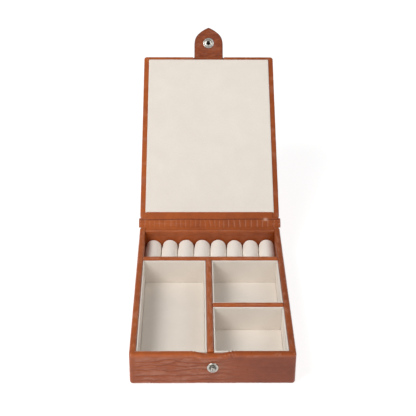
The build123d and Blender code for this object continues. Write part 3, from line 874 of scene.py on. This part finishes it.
# ---------------------------------------------------------------- lid
def lid_leather():
    """The lid's leather: outside, edges and the border turned in under the lining."""
    edge_r, low_r, turn_in = 1.2, 0.9, 12.0
    y0, y1 = -HALF_Y - 0.4, LID_REAR
    mid, half_y = (y0 + y1) / 2, (y1 - y0) / 2
    cx, cy = HALF_X - CORNER_R, half_y - CORNER_R
    rc = CORNER_R - edge_r
    ax, ay = HALF_X - edge_r, half_y - edge_r
    gx, gy = np.meshgrid(steps(-ax, ax, 0.56), steps(-ay, ay, 0.56), indexing="ij")
    a = np.clip((np.abs(gx) - (ax - rc)) / rc, 0, 1)
    b = np.clip((np.abs(gy) - (ay - rc)) / rc, 0, 1)
    both = (a > 0) & (b > 0)
    px = np.where(both, np.sign(gx) * (ax - rc + rc * a * np.sqrt(1 - b * b / 2)), gx)
    py = np.where(both, np.sign(gy) * (ay - rc + rc * b * np.sqrt(1 - a * a / 2)), gy)
    nu, nv = gx.shape
    border = [(0, j) for j in range(nv)] + [(i, nv - 1) for i in range(1, nu)]
    border += [(nu - 1, j) for j in range(nv - 2, -1, -1)] + [(i, 0) for i in range(nu - 2, 0, -1)]
    bi = np.array(border)
    bx, by = px[bi[:, 0], bi[:, 1]], py[bi[:, 0], bi[:, 1]]
    in_x, in_y = np.abs(bx) - cx, np.abs(by) - cy
    corner = (in_x > 1e-3) & (in_y > 1e-3)
    dx = np.where(corner, in_x, np.where(np.abs(np.abs(bx) - ax) < 1e-3, 1.0, 0.0))
    dy = np.where(corner, in_y, np.where(dx > 0.5, 0.0, 1.0))
    size = np.hypot(dx, dy)
    dx, dy = np.sign(bx) * dx / size, np.sign(by) * dy / size

    def ring(inset):
        """The border's x and y drawn in to an inset from the lid's outline."""
        drawn = []
        for at, out, centre, half in ((bx, dx, cx, HALF_X), (by, dy, cy, half_y)):
            straight = at + out * (edge_r - inset)
            if inset <= CORNER_R:
                bent = np.sign(at) * centre + out * (CORNER_R - inset)
            else:
                bent = np.sign(at) * (half - inset)
                straight = np.clip(straight, inset - half, half - inset)
            drawn.append(np.where(corner, bent, straight))
        return drawn

    profile = arc((edge_r, LID_TOP - edge_r), edge_r, 90, 180, 6)[1:]
    profile += run((0, LID_TOP - edge_r), (0, LID_LOW + low_r), 0.6)
    profile += arc((low_r, LID_LOW + low_r), low_r, 180, 270, 6)[1:]
    profile += run((low_r, LID_LOW), (6.0, LID_LOW), 0.5)
    shown = len(profile)
    profile += [(turn_in, LID_LOW), (turn_in, LID_LOW + LID_SKIN), (LID_SKIN, LID_LOW + LID_SKIN)]
    profile += [(LID_SKIN, LID_TOP - LID_SKIN)]
    far = lengths([(edge_r, LID_TOP)] + profile)[1:, None]
    loops = np.array([np.stack([*ring(inset), 0 * bx + z], axis=-1) for inset, z in profile])
    u, v = bx + dx * far, by + dy * far

    def form(sx, sy):
        """Broad scales along the middle, small ones on the flanks."""
        belly = scales(sx, sy + 3, 15.0, 6.6, 21)
        flank = scales(sy + 5, sx, 8.2, 5.6, 23)
        blend = ramp(bell(sx, 46), 0.25, 0.5)
        return belly * blend + flank * (1 - blend)

    level = 1 - (1 - form(px, py)) * (0.75 + 0.25 * ramp(noise(px / 28, py / 28, 12), -0.4, 0.4))
    rise = -0.36 * (1 - level) - 0.05 * (1 + fractal(px / 14, py / 14, 24))
    face = np.stack([px, py, LID_TOP + rise], axis=-1)
    side = 1 - (1 - form(u, v)) * 0.5
    fade = np.where(np.array(profile)[:, 1] < LID_LOW + 1.5, 0.45, 1.0)[:, None]
    side = 1 - (1 - side) * fade
    n = normals(np.concatenate([loops, loops[:, :1]], axis=1))[:, :-1]
    outwards = np.sum(n[8] * np.stack([dx, dy, 0 * dx], axis=-1), axis=1).mean()
    push = -0.28 * (1 - side) - 0.05 * (1 + fractal(u / 7, v / 7, 25))
    pinch_and_shadow = bell(np.abs(loops[..., 0]) - TAB_HALF - 0.65, 0.45) * (loops[..., 1] < -ay + 5)
    push -= 0.75 * pinch_and_shadow
    # painted shadow: the border is darkest at each side of the tab
    side *= 1 - pinch_and_shadow
    push[shown:] = 0
    loops += n * push[..., None] * np.sign(outwards)
    points = np.concatenate([face.reshape(-1, 3), loops.reshape(-1, 3)])
    points[:, 1] += mid

    faces = grid_faces(nu, nv)
    inner, m = [i * nv + j for i, j in border], len(border)
    for k in range(len(loops)):
        outer = [nu * nv + k * m + j for j in range(m)]
        faces += [(inner[j], inner[(j + 1) % m], outer[(j + 1) % m], outer[j]) for j in range(m)]
        inner = outer
    faces.append(tuple(inner))
    wear_and_sheen = 0.10 * ramp(noise(u / 5, v / 5, 26), 0.2, 0.9)
    attributes = {
        "emboss_and_shade": np.concatenate([level.ravel(), side.ravel()]),
        "wear_and_sheen": np.concatenate([0 * level.ravel(), wear_and_sheen.ravel()]),
        "pat": np.concatenate([pattern(px, py, 0), pattern(u, v, 0)]),
    }
    obj = make_object("lid_cover", opened(points), faces, attributes)
    finish_piece(obj, CROC, "lid", ["lid_leather"])


def lid_lining():
    """The cream panel inside the lid: suede over card, with a soft turned edge."""
    lo, hi = LIN_LO, LIN_HI
    gx, gy, drop = rounded_grid(lo, hi, 1.6, 0.6)
    puff = 0.05 * (1 + fractal(gx / 25, gy / 25, 31))
    face = np.stack([gx, gy, lo[2] + puff + drop], axis=-1)
    back = np.stack([gx, gy, np.where(drop > 0.02, hi[2] - 0.02, lo[2] + 0.35)], axis=-1)
    # painted shade: darker on the turned edge
    attributes = {"emboss_and_shade": 1 - 0.3 * (drop > 0.4), "wear_and_sheen": 0 * gx, "pat": pattern(gx, gy, 5)}
    obj = slab("lid_lining_suede", opened(face), opened(back), attributes)
    finish_piece(obj, LINING, "lid", ["lid_lining_fabric"])


# ---------------------------------------------------------------- hinge
def on_lid(v, w):
    """A point at rest that is v along the lid from the hinge and w towards its outside: (y, z)."""
    return opened([0, LID_AXIS[1] - v, LID_AXIS[2] + w])[1:]


def along_lid(face):
    """How far along the lid from the hinge each (y, z) point lies."""
    return np.array([(p - LID_AXIS[1:]) @ (on_lid(1, 0) - LID_AXIS[1:]) for p in face])


def thickened(face, thick, side):
    """The path that lies thick to one side of a (y, z) path: 1 for its right, -1 for its left."""
    step = np.gradient(face, axis=0)
    away = side * np.stack([step[:, 1], -step[:, 0]], axis=-1)
    away /= np.linalg.norm(away, axis=1, keepdims=True)
    return face + away * thick[:, None]


def band(face, back, across, half):
    """Both grids of a band from two (y, z) paths; half is its half width at each of their points."""
    rows = np.zeros((len(across), len(face), 3))
    rows[..., 0] = across[:, None] * np.array(half)[None, :]
    rows[..., 1:] = np.array(face)[None]
    under = rows.copy()
    under[..., 1:] = np.array(back)[None]
    return rows, under


def pushed(rows, under, push):
    """A band's face moved by push along its normals, away from its back."""
    n = normals(rows)
    sign = -np.sign(np.sum(n * (under - rows), axis=-1, keepdims=True))
    return rows + n * sign * push[..., None]


def ribbon(name, face, back, half, look, seed):
    """A band that runs front to back. look(s, t) gives its emboss with painted shade, push, wear with
    painted highlights, and painted shade.
    """
    rows, under = band(face, back, steps(-1, 1, 0.5 / max(half)), half)
    s, t = np.broadcast_arrays(rows[..., 0], lengths(face)[None, :])
    level, push, wear_and_sheen, shade = look(s, t)
    attributes = {"emboss_and_shade": level, "wear_and_sheen": wear_and_sheen, "shade": shade, "pat": pattern(s, t, seed)}
    return slab(name, pushed(rows, under, push), under, attributes)


def hinge_inside():
    """The hinge strip that shows: from inside the back wall, over its rim, to under the lid's lining.

    It is pared thin just past the rim, at the line where the real strip folds when the lid closes."""
    r = 1.5
    crease = GAP - 1.0
    w_gap, w_border = -0.19, -0.09
    wall_in = HALF_Y - WALL
    rim_in = wall_in - 0.6
    top = HEIGHT + CORNER_RISE + 0.12
    raised = (HALF_Y - 1.3, top)
    joined, before = on_lid(2.2, w_gap), on_lid(0.9, w_gap)
    face = [(wall_in, FLOOR)] + run((wall_in, FLOOR), (wall_in, HEIGHT - 7), 1.0)
    lean = [(wall_in, HEIGHT - 7), (wall_in, HEIGHT - 5), (rim_in, HEIGHT - 4), (rim_in, HEIGHT - r)]
    face += bezier(lean, 8)
    face += arc((rim_in + r, HEIGHT - r), r, 180, 90, 7)[1:]
    face += run((rim_in + r, HEIGHT), (HALF_Y - 3.0, HEIGHT), 0.4)
    face += bezier([(HALF_Y - 3.0, HEIGHT), (HALF_Y - 2.4, HEIGHT), (HALF_Y - 2.0, top), raised], 4)
    face += bezier([raised, (HALF_Y - 0.2, top), before, joined], 8)
    face += run(joined, on_lid(GAP - 0.3, w_gap), 0.4)
    face += run(on_lid(GAP - 0.3, w_gap), on_lid(GAP + 0.2, w_border), 0.25)
    face += run(on_lid(GAP + 0.2, w_border), on_lid(GAP + 5.5, w_border), 0.45)
    face += run(on_lid(GAP + 5.5, w_border), on_lid(GAP + 9.0, w_border), 1.2)
    face = np.array(face)
    t, v = lengths(face), along_lid(face)
    back = thickened(face, np.where(v > GAP, 0.48, 0.85) - 0.27 * bell(v - 0.9, 1.7), 1)
    bulge = ramp(v, -1.6, -0.7) * (1 - ramp(v, GAP - 0.35, GAP + 0.1))
    half = INNER_X - 0.05 + bulge * (HALF_X + 0.75 - INNER_X) - 0.6 * ramp(v, GAP, GAP + 0.4)
    half += 0.10 * bulge * np.sin(np.clip(v / GAP, 0, 1) * math.pi)
    rim_at = t[np.argmin(np.abs(v))]
    lip = t[np.argmin(np.hypot(face[:, 0] - rim_in - 0.4, face[:, 1] - HEIGHT + 0.4))] - rim_at

    def look(s, along):
        vv = along - rim_at
        on_ribs = ramp(vv, -1.6, -0.4) * (1 - ramp(vv, crease - 1.5, crease - 0.3))
        on_gap = ramp(vv, 0.5, 2) * (1 - ramp(vv, GAP - 1.5, GAP - 0.2))
        right = 0.55 + 0.45 * ramp(s + 6 * noise(vv / 12, s / 9, 70), -34, -8)
        # full-height ribs on the strip, small scales elsewhere
        p = s / 4.4 + 0.45 * noise(s / 15, 0 * s, 71) + 0.10 * noise(s / 8, vv / 6, 72)
        off = (p - np.floor(p) - 0.5) * 2
        ribs = swell(2.2 * (1 - np.abs(off)), 0.9)
        small = scales(s + 2, along, 6.1, 4.2, 75, 0.9)
        inner = scales(s + 2, along, 9.5, 6.5, 76, 0.8)
        level = np.where(vv < lip, 1 - 0.45 * (1 - inner), 1 - (0.45 + 0.15 * right) * (1 - small))
        level = level * (1 - on_ribs) + (1 - 0.8 * right * (1 - ribs)) * on_ribs
        level = 1 - (1 - level) * (1 - 0.7 * ramp(vv, crease, GAP + 0.5))
        # shallow grooves along the strip, the deep crease by the lid, and wrinkles at the ends
        push = -0.34 * (1 - level) - 0.03
        for place, size, width in ((0.9, 0.10, 0.6), (crease - 1.6, 0.10, 0.5), (lip + 2.2, 0.12, 0.6)):
            wander = place + 0.35 * noise(s / 9, 0 * s + place, 73)
            push = push - size * bell(vv - wander, width)
        fold = bell(vv - crease - 0.35 * noise(s / 9, 0 * s, 79), 0.42)
        push = push - 0.55 * fold
        ends = ramp(np.abs(s), HALF_X - 13, HALF_X - 3)
        push = push + 0.13 * ends * np.sin(vv * 2.1 + 1.6 * noise(s / 3, vv / 3, 75)) * on_gap
        push = push + 0.06 * fractal(s / 2.4, vv / 3.5, 76) * on_gap
        # painted highlights: the ribs' lit sides, a line along the lip over the rolls, streaks on wrinkles
        # at the left end and one glint
        lit = bell(2.2 * (1 + off) - 0.55, 0.35) * on_ribs * right
        wear_and_sheen = 0.20 * lit * (0.5 + 0.5 * ramp(noise(s / 14, 0 * s, 77), -0.6, 0.4))
        line = bell(vv - lip - 0.25 * noise(s / 5, 0 * s, 80), 0.32)
        wear_and_sheen = wear_and_sheen + 0.26 * line * (0.5 + 0.5 * ramp(noise(s / 12, 0 * s, 81), -0.6, 0.4))
        streak_highlight = ramp(noise(s / 11, vv / 0.7, 82), 0.25, 0.8) * (1 - ramp(s, -26, -14)) * on_gap
        glint = bell(np.hypot((s - 48) / 1.7, (vv - crease + 0.2) / 1.3), 1)
        wear_and_sheen = wear_and_sheen + 0.16 * streak_highlight + 0.9 * glint
        # painted shade: darker in the deep crease by the lid
        tone = 1 - 0.6 * (1 - level) - 0.9 * fold * ramp(vv, 0, 1)
        shade = side_shade(s) + 0.75 * fold * (0.6 + 0.4 * ramp(-s, -20, 30)) * ramp(vv, 0, 1)
        return np.clip(tone, 0, 1), push, np.clip(wear_and_sheen, 0, 1), np.clip(shade, 0, 1)

    obj = ribbon("hinge_leather_inside", face, back, half, look, 7)
    finish_piece(obj, CROC, None, ["hinge_strip_base", "hinge_strip_lid"])
    end = np.array([0, *on_lid(1.6, w_gap)]) * MM
    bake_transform(obj)


def hinge_outside():
    """The cover leather from under the base, up the back wall and over the spine to the lid board."""
    w_out, w_in = 1.6, 0.75
    joined = on_lid(2.4, w_out)
    face = [(HALF_Y - TURN_UNDER, 0.0), (HALF_Y - BOTTOM_R, 0.0)]
    face += arc((HALF_Y - BOTTOM_R, BOTTOM_R), BOTTOM_R, 270, 360, 8)[1:]
    face += run((HALF_Y, BOTTOM_R), (HALF_Y, HEIGHT - 2.4), 0.48)
    face += bezier([(HALF_Y, HEIGHT - 2.4), (HALF_Y, HEIGHT - 0.3), on_lid(0.9, w_out), joined], 9)
    face += run(joined, on_lid(GAP - 0.05, w_out), 0.42)
    face = np.array(face)
    v = np.where(face[:, 1] > HEIGHT - 3, along_lid(face), -9)
    back = thickened(face, np.where(v > 0, w_out - w_in, SKIN - 0.08), -1)
    half = INNER_X - 0.02 + ramp(v, -0.6, 0.7) * (HALF_X + 0.65 - INNER_X)

    def look(s, along):
        form = scales(s + 12, along + 1.2, 15.0, 5.2, 81)
        spine = ramp(along, 27.0, 30.0)
        level = 1 - (1 - form) * (0.85 - 0.35 * spine)
        wrinkles = 0.12 * fractal(s / 7, along / 1.7, 82) * spine
        push = -0.28 * (1 - level) - 0.05 * (1 + fractal(s / 11, along / 8, 83))
        push = push + wrinkles - 0.12 * spine
        wear_and_sheen = 0.35 * spine * ramp(noise(s / 3, along / 0.9, 84), 0.25, 0.9)
        return level, push, wear_and_sheen, side_shade(s)

    obj = ribbon("hinge_leather_outside", face, back, half, look, 8)
    finish_piece(obj, CROC, None, ["back_leather"])
    end = np.array([0, *on_lid(2.0, w_out)]) * MM
    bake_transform(obj)


# ---------------------------------------------------------------- tab and press stud
TAB_TIP = 26.8  # from the tab's hinge line
SOCKET_D = TAB_AXIS[2] - STUD_Z  # the socket's centre, from the same line
BEND_END = 2.2  # where the tab's leather is straight again after its bend
TAB_TAIL = list(np.arange(2.7, 23.0, 0.5)) + list(np.arange(23.2, 26.2, 0.25))
TAB_TAIL += [26.2, 26.4, 26.55, 26.68, 26.76]
TAB_CREASES = (-2.0, 0.10), (0.2, 0.12), (1.9, 0.09), (4.4, 0.05), (6.3, 0.06), (18.9, 0.08), (21.0, 0.06)
TAB_OUTLINE = [
    (-30, 13.25), (-10, 13.25), (8, 13.25), (11.0, 13.22), (14.4, 12.8), (18.0, 11.5), (20.4, 9.75),
    (22.5, 7.45), (24.3, 5.0), (25.6, 2.85), (26.4, 1.2), (TAB_TIP, 0.2),
]


def tab_half_width(d):
    """Half the tab's width at a distance from its hinge line: straight, then a pointed arch."""
    at, half = np.array(TAB_OUTLINE).T
    half = half * TAB_HALF / 13.25
    slope = np.gradient(half, at)
    k = np.clip(np.searchsorted(at, d) - 1, 0, len(at) - 2)
    width = at[k + 1] - at[k]
    u = (d - at[k]) / width
    curve = (2 * u**3 - 3 * u**2 + 1) * half[k] + (u**3 - 2 * u**2 + u) * width * slope[k]
    return curve + (3 * u**2 - 2 * u**3) * half[k + 1] + (u**3 - u**2) * width * slope[k + 1]


def tab_point(d, e):
    """A point at rest, d from the tab's hinge line towards its tip and e towards its outside: (y, z)."""
    return opened(lifted([0, TAB_AXIS[1] - e, TAB_AXIS[2] - d]))[1:]


def tab_side(stops, bend, e):
    """One side of a tab leather as a (y, z) path: on the lid, round the bend, then along the tab.

    stops are (v, w) on the lid. bend is the curve's inner points, one on the lid and one on the
    tab, and e is how far the side lies towards the tab's outside."""
    path = [on_lid(v, w) for v, w in stops]
    path += bezier([path[-1], on_lid(*bend[0]), tab_point(*bend[1]), tab_point(BEND_END, e)], 7)
    return path + [tab_point(d, e) for d in TAB_TAIL]


def tab_layer(name, face, back, d, material, nodes, seed):
    """One leather layer of the tab as a band whose width follows the outline."""
    croc = material is CROC
    half = tab_half_width(np.array(d))
    across = np.concatenate([[-1, -0.985, -0.95], np.linspace(-0.9, 0.9, 61), [0.95, 0.985, 1]])
    rows, under = band(face, back, across, half)
    s, t = np.broadcast_arrays(rows[..., 0], np.array(d)[None, :])
    edge = np.minimum(half[None, :] - np.abs(s), np.maximum(0, (TAB_TIP - t) * 0.55))
    lines = 0
    for place, size in TAB_CREASES:
        line = bell(t - (place + 0.3 * noise(s / 5, 0 * s + place, seed)), 0.28)
        lines = lines - size * line * ramp(noise(s / 5 + place, 0 * s, seed + 8), -0.5, 0.4)
    form = 1 - (1 - scales(s + 4, t + 2, 9.0, 5.0, seed)) * 0.8 if croc else 1 + 0 * s
    from_socket = np.hypot(s, t - SOCKET_D)
    seat = bell(np.maximum(0, from_socket - 5.0), 1.1)
    crinkle = fractal(s / 4.5, t / 1.4, seed + 6)
    push = -0.22 * (1 - form) + 0.10 * crinkle + 1.6 * lines
    push = push - 0.05 * (1 + fractal(s / 6, t / 6, seed + 3)) - 0.10 * seat
    push = (push - 0.22 * (1 - np.clip(edge / 0.45, 0, 1)) ** 2) * ramp(t, -6, -3)
    # darker at the cut edges, which is edge paint, and in the dish round the socket, which is painted shade
    level = form * (0.2 + 0.8 * ramp(edge, 0.2, 1.5)) * (1 - 0.4 * seat)
    # painted shade: darker along the creases and in a mottle that follows the crinkles
    level = level * (1 - 0.5 * ramp(crinkle, -0.1, 0.35)) * (1 - 0.6 * ramp(-lines, 0.02, 0.09))
    # painted highlights: pale along the creases, on the crinkles and on the gathers at the root
    wear_and_sheen = 0.22 * ramp(-lines, 0.03, 0.1) * ramp(noise(s / 2.5, t, seed + 5), -0.2, 0.7)
    wear_and_sheen = wear_and_sheen + 0.06 * ramp(-crinkle, 0.05, 0.4) * (not croc)
    gathers = bell((s + 3 * noise(t / 3, 0 * s, 5)) % 6.5 - 3, 0.4)
    wear_and_sheen = wear_and_sheen + 0.08 * (1 - ramp(t, -1, 4)) * gathers * ramp(t, -3.5, -2)
    attributes = {"emboss_and_shade": level, "wear_and_sheen": wear_and_sheen, "shade": 0 * s + 0.75, "pat": pattern(s, t, seed)}
    middle = (from_socket[1:, 1:] + from_socket[:-1, :-1] + from_socket[1:, :-1] + from_socket[:-1, 1:]) / 4
    obj = slab(name, pushed(rows, under, push), under, attributes, hole=middle < 3.1)
    finish_piece(obj, material, None, nodes)
    start, end = on_lid(HALF_Y + LID_AXIS[1] + 0.1, -0.3), tab_point(2.2, 0.6)
    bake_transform(obj)


def tab_leathers():
    """The tab's two layers. The inner one runs on under the lid's lining."""
    reach = HALF_Y + LID_AXIS[1]
    edge = reach - (LIN_LO[1] + HALF_Y)
    bend_start = reach + 0.4
    v_axis = LID_AXIS[1] - TAB_AXIS[1]
    bend_d = list(np.linspace(-0.8, BEND_END, 8)[1:])

    low, proud, back_w = -0.09, -0.39, 0.39
    stops = [(edge - v, low) for v in (8.5, 4, 0.5, 0.1)] + [(edge + 0.25, proud + 0.05)]
    stops += [(v, proud) for v in np.linspace(edge + 0.6, bend_start, 8)]
    d = [v - v_axis for v, _ in stops] + bend_d + TAB_TAIL
    face = tab_side(stops, [(reach + 1.5, proud), (1.0, 0.6)], 0.6)
    back = tab_side([(v, back_w) for v, _ in stops], [(reach + 1.3, 0.41), (0.8, 1.39)], 1.39)
    nodes = ["tab_inner_leather", "tab_root"]
    tab_layer("tab_leather_inside", face, back, d, SMOOTH, nodes, 90)

    face_w, back_w = 1.21, 0.42
    stops = [(reach + 0.12, face_w), (bend_start, face_w)]
    d = [v - v_axis for v, _ in stops] + bend_d + TAB_TAIL
    face = tab_side(stops, [(reach + 1.6, 1.25), (0.6, 2.2)], 2.2)
    back = tab_side([(v, back_w) for v, _ in stops], [(reach + 1.3, back_w), (0.8, 1.41)], 1.41)
    tab_layer("tab_leather_outside", face, back, d, CROC, ["tab_outer_leather"], 95)


def press_stud():
    """The stud on the front wall, and on the tab the socket, its spring and its cap."""
    def as_is(p):
        return p

    def on_tab(p):
        return opened(lifted(p))

    def valley(r, h):
        """Darker in the ring round the stud's foot and in the dimple on its tip, and a little darker all
        over.
        """
        ring = 0.75 * float(bell(r - 2.0, 0.8)) * float(h > -1.2)
        return 0.18 + ring + 0.5 * float(r < 0.5 and h < -2)

    # painted shade: the socket's bore is near black inside
    def bore_shade(r, h):
        return float(r < 2.0 and h < 0.6)

    def metal(name, profile, y, place, body, node, dark=None):
        obj = lathe(name, profile, (0, y, STUD_Z), place, dark)
        finish_piece(obj, NICKEL, body, [node])

    foot_r = 4.15
    stud = smooth_profile([
        (0.01, 2.12), (0.55, 2.15), (0.95, 2.5), (1.38, 2.42), (1.52, 2.0), (1.32, 1.5), (1.25, 1.0),
        (1.5, 0.55), (2.2, 0.32), (3.0, 0.40), (3.5, 0.72), (3.9, 0.62), (foot_r, 0.2),
    ])
    stud = [(r, -h) for r, h in stud] + [(foot_r, 0.02), (0.01, 0.02)]
    metal("press_stud", stud, -HALF_Y, as_is, "base", "snap_stud", valley)

    inner_face = TAB_AXIS[1] - 0.6
    ring = smooth_profile([
        (1.9, 0.35), (1.95, 0.72), (2.3, 0.9), (2.75, 0.86), (3.0, 0.55), (3.5, 0.42), (4.1, 0.46),
        (4.6, 0.5), (4.92, 0.3), (5.0, 0.02),
    ])
    ring = [(0.01, -1.0), (1.7, -1.0), (1.9, -0.8)] + ring
    ring += [(5.0, -0.02), (2.7, -0.02), (2.7, -1.1), (0.01, -1.1)]
    metal("press_socket", ring, inner_face, on_tab, "tab", "snap_socket", bore_shade)

    around = np.linspace(0, 2 * math.pi, 13)[:-1]
    wire = [(2.0 + 0.17 * math.cos(a), 0.5 + 0.17 * math.sin(a)) for a in around]
    metal("press_socket_spring", wire, inner_face, on_tab, "tab", "snap_socket_spring")

    cap = smooth_profile([(0.01, 1.0), (2.0, 0.98), (4.0, 0.8), (5.2, 0.45), (5.6, 0.15), (5.6, 0.0)])
    cap = [(r, -h) for r, h in cap] + [(2.7, 0.0), (2.7, 0.5), (0.01, 0.5)]
    metal("press_cap", cap, inner_face - 1.6, on_tab, "tab", "snap_cap")


# ---------------------------------------------------------------- carried-over CAD nodes
def carried_over():
    """Materials for the CAD nodes that stay: boards, cards, rivet and the sheet underneath."""
    for name, obj in frame["nodes"].items():
        if obj.hide_render:
            continue
        if name == "bottom_cover":
            material = BACKING
        elif name.startswith("snap"):
            material = NICKEL
        else:
            material = BOARD
        for slot_ in obj.material_slots:
            slot_.material = material


# ---------------------------------------------------------------- studio
def orient(obj, right, up, back):
    """Turns an object so that its own axes point along these."""
    obj.rotation_mode = "QUATERNION"
    obj.rotation_quaternion = Matrix(np.stack([right, up, back], axis=1).tolist()).to_quaternion()


def area(name, place, size, power, colour=(1, 1, 1)):
    """A soft rectangular lamp aimed at the case."""
    data = bpy.data.lights.new(name, "AREA")
    data.shape = "RECTANGLE"
    data.size, data.size_y = size
    data.energy = power
    data.color = colour
    obj = bpy.data.objects.new(name, data)
    bpy.context.scene.collection.objects.link(obj)
    obj.location = place
    aim = np.array((0, 0.05, 0.03)) - np.array(place)
    back = -aim / np.linalg.norm(aim)
    right = np.cross((0, 0, 1), back)
    right /= np.linalg.norm(right)
    orient(obj, right, np.cross(back, right), back)


def studio():
    """White floor and surround, soft lamps, and the camera."""
    scene = bpy.context.scene
    mesh = bpy.data.meshes.new("floor")
    far = 6.0
    mesh.from_pydata([(-far, -far, 0), (far, -far, 0), (far, far, 0), (-far, far, 0)], [], [(0, 1, 2, 3)])
    floor = bpy.data.objects.new("studio_floor", mesh)
    scene.collection.objects.link(floor)
    floor.location.z = -0.0002
    n = Nodes("studio_white")
    n.set(Base_Color=(0.45, 0.45, 0.45, 1), Roughness=0.9, Specular_IOR_Level=0.1)
    n.set(Emission_Color=(1, 1, 1, 1), Emission_Strength=0.80)
    mesh.materials.append(n.material)

    # the surround is brightest at the horizon and dims overhead
    world = bpy.data.worlds.new("studio")
    world.use_nodes = True
    tree = world.node_tree
    at = tree.nodes.new("ShaderNodeTexCoord")
    split = tree.nodes.new("ShaderNodeSeparateXYZ")
    fall = tree.nodes.new("ShaderNodeMapRange")
    fall.interpolation_type = "SMOOTHSTEP"
    for key, value in (("From Min", 0.06), ("From Max", 0.28), ("To Min", 0.9), ("To Max", 0.22)):
        fall.inputs[key].default_value = value
    tree.links.new(at.outputs["Generated"], split.inputs[0])
    tree.links.new(split.outputs["Z"], fall.inputs["Value"])
    tree.links.new(fall.outputs["Result"], tree.nodes["Background"].inputs["Strength"])
    tree.nodes["Background"].inputs["Color"].default_value = (1.0, 1.0, 1.0, 1)
    scene.world = world

    area("key", (-1.08, -0.72, 1.40), (1.0, 1.0), 25.0, (1.0, 0.985, 0.965))
    area("fill", (1.05, -0.75, 1.30), (0.9, 0.9), 7.0)
    scene.view_settings.view_transform = "Standard"
    scene.view_settings.look = "None"

    # the camera's place and turn come from the fit to the photo
    pitch, yaw, roll = math.radians(30.0), math.radians(0.82), math.radians(0.40)
    level = math.cos(pitch)
    forward = np.array([math.sin(yaw) * level, math.cos(yaw) * level, -math.sin(pitch)])
    right = np.array([math.cos(yaw), -math.sin(yaw), 0])
    up = np.cross(right, forward)
    turned = math.cos(roll) * right + math.sin(roll) * up
    up = -math.sin(roll) * right + math.cos(roll) * up
    data = bpy.data.cameras.new("camera")
    data.sensor_width = 36.0
    data.lens = 89.47
    data.clip_start, data.clip_end = 0.05, 50
    camera = bpy.data.objects.new("camera", data)
    scene.collection.objects.link(camera)
    camera.location = (-0.01253, -0.67233, 0.48533)
    orient(camera, turned, up, -forward)
    scene.camera = camera


base_leathers()
divider_leathers()
tray_linings()
ring_rolls()
lid_leather()
lid_lining()
hinge_inside()
hinge_outside()
tab_leathers()
press_stud()
carried_over()
studio()
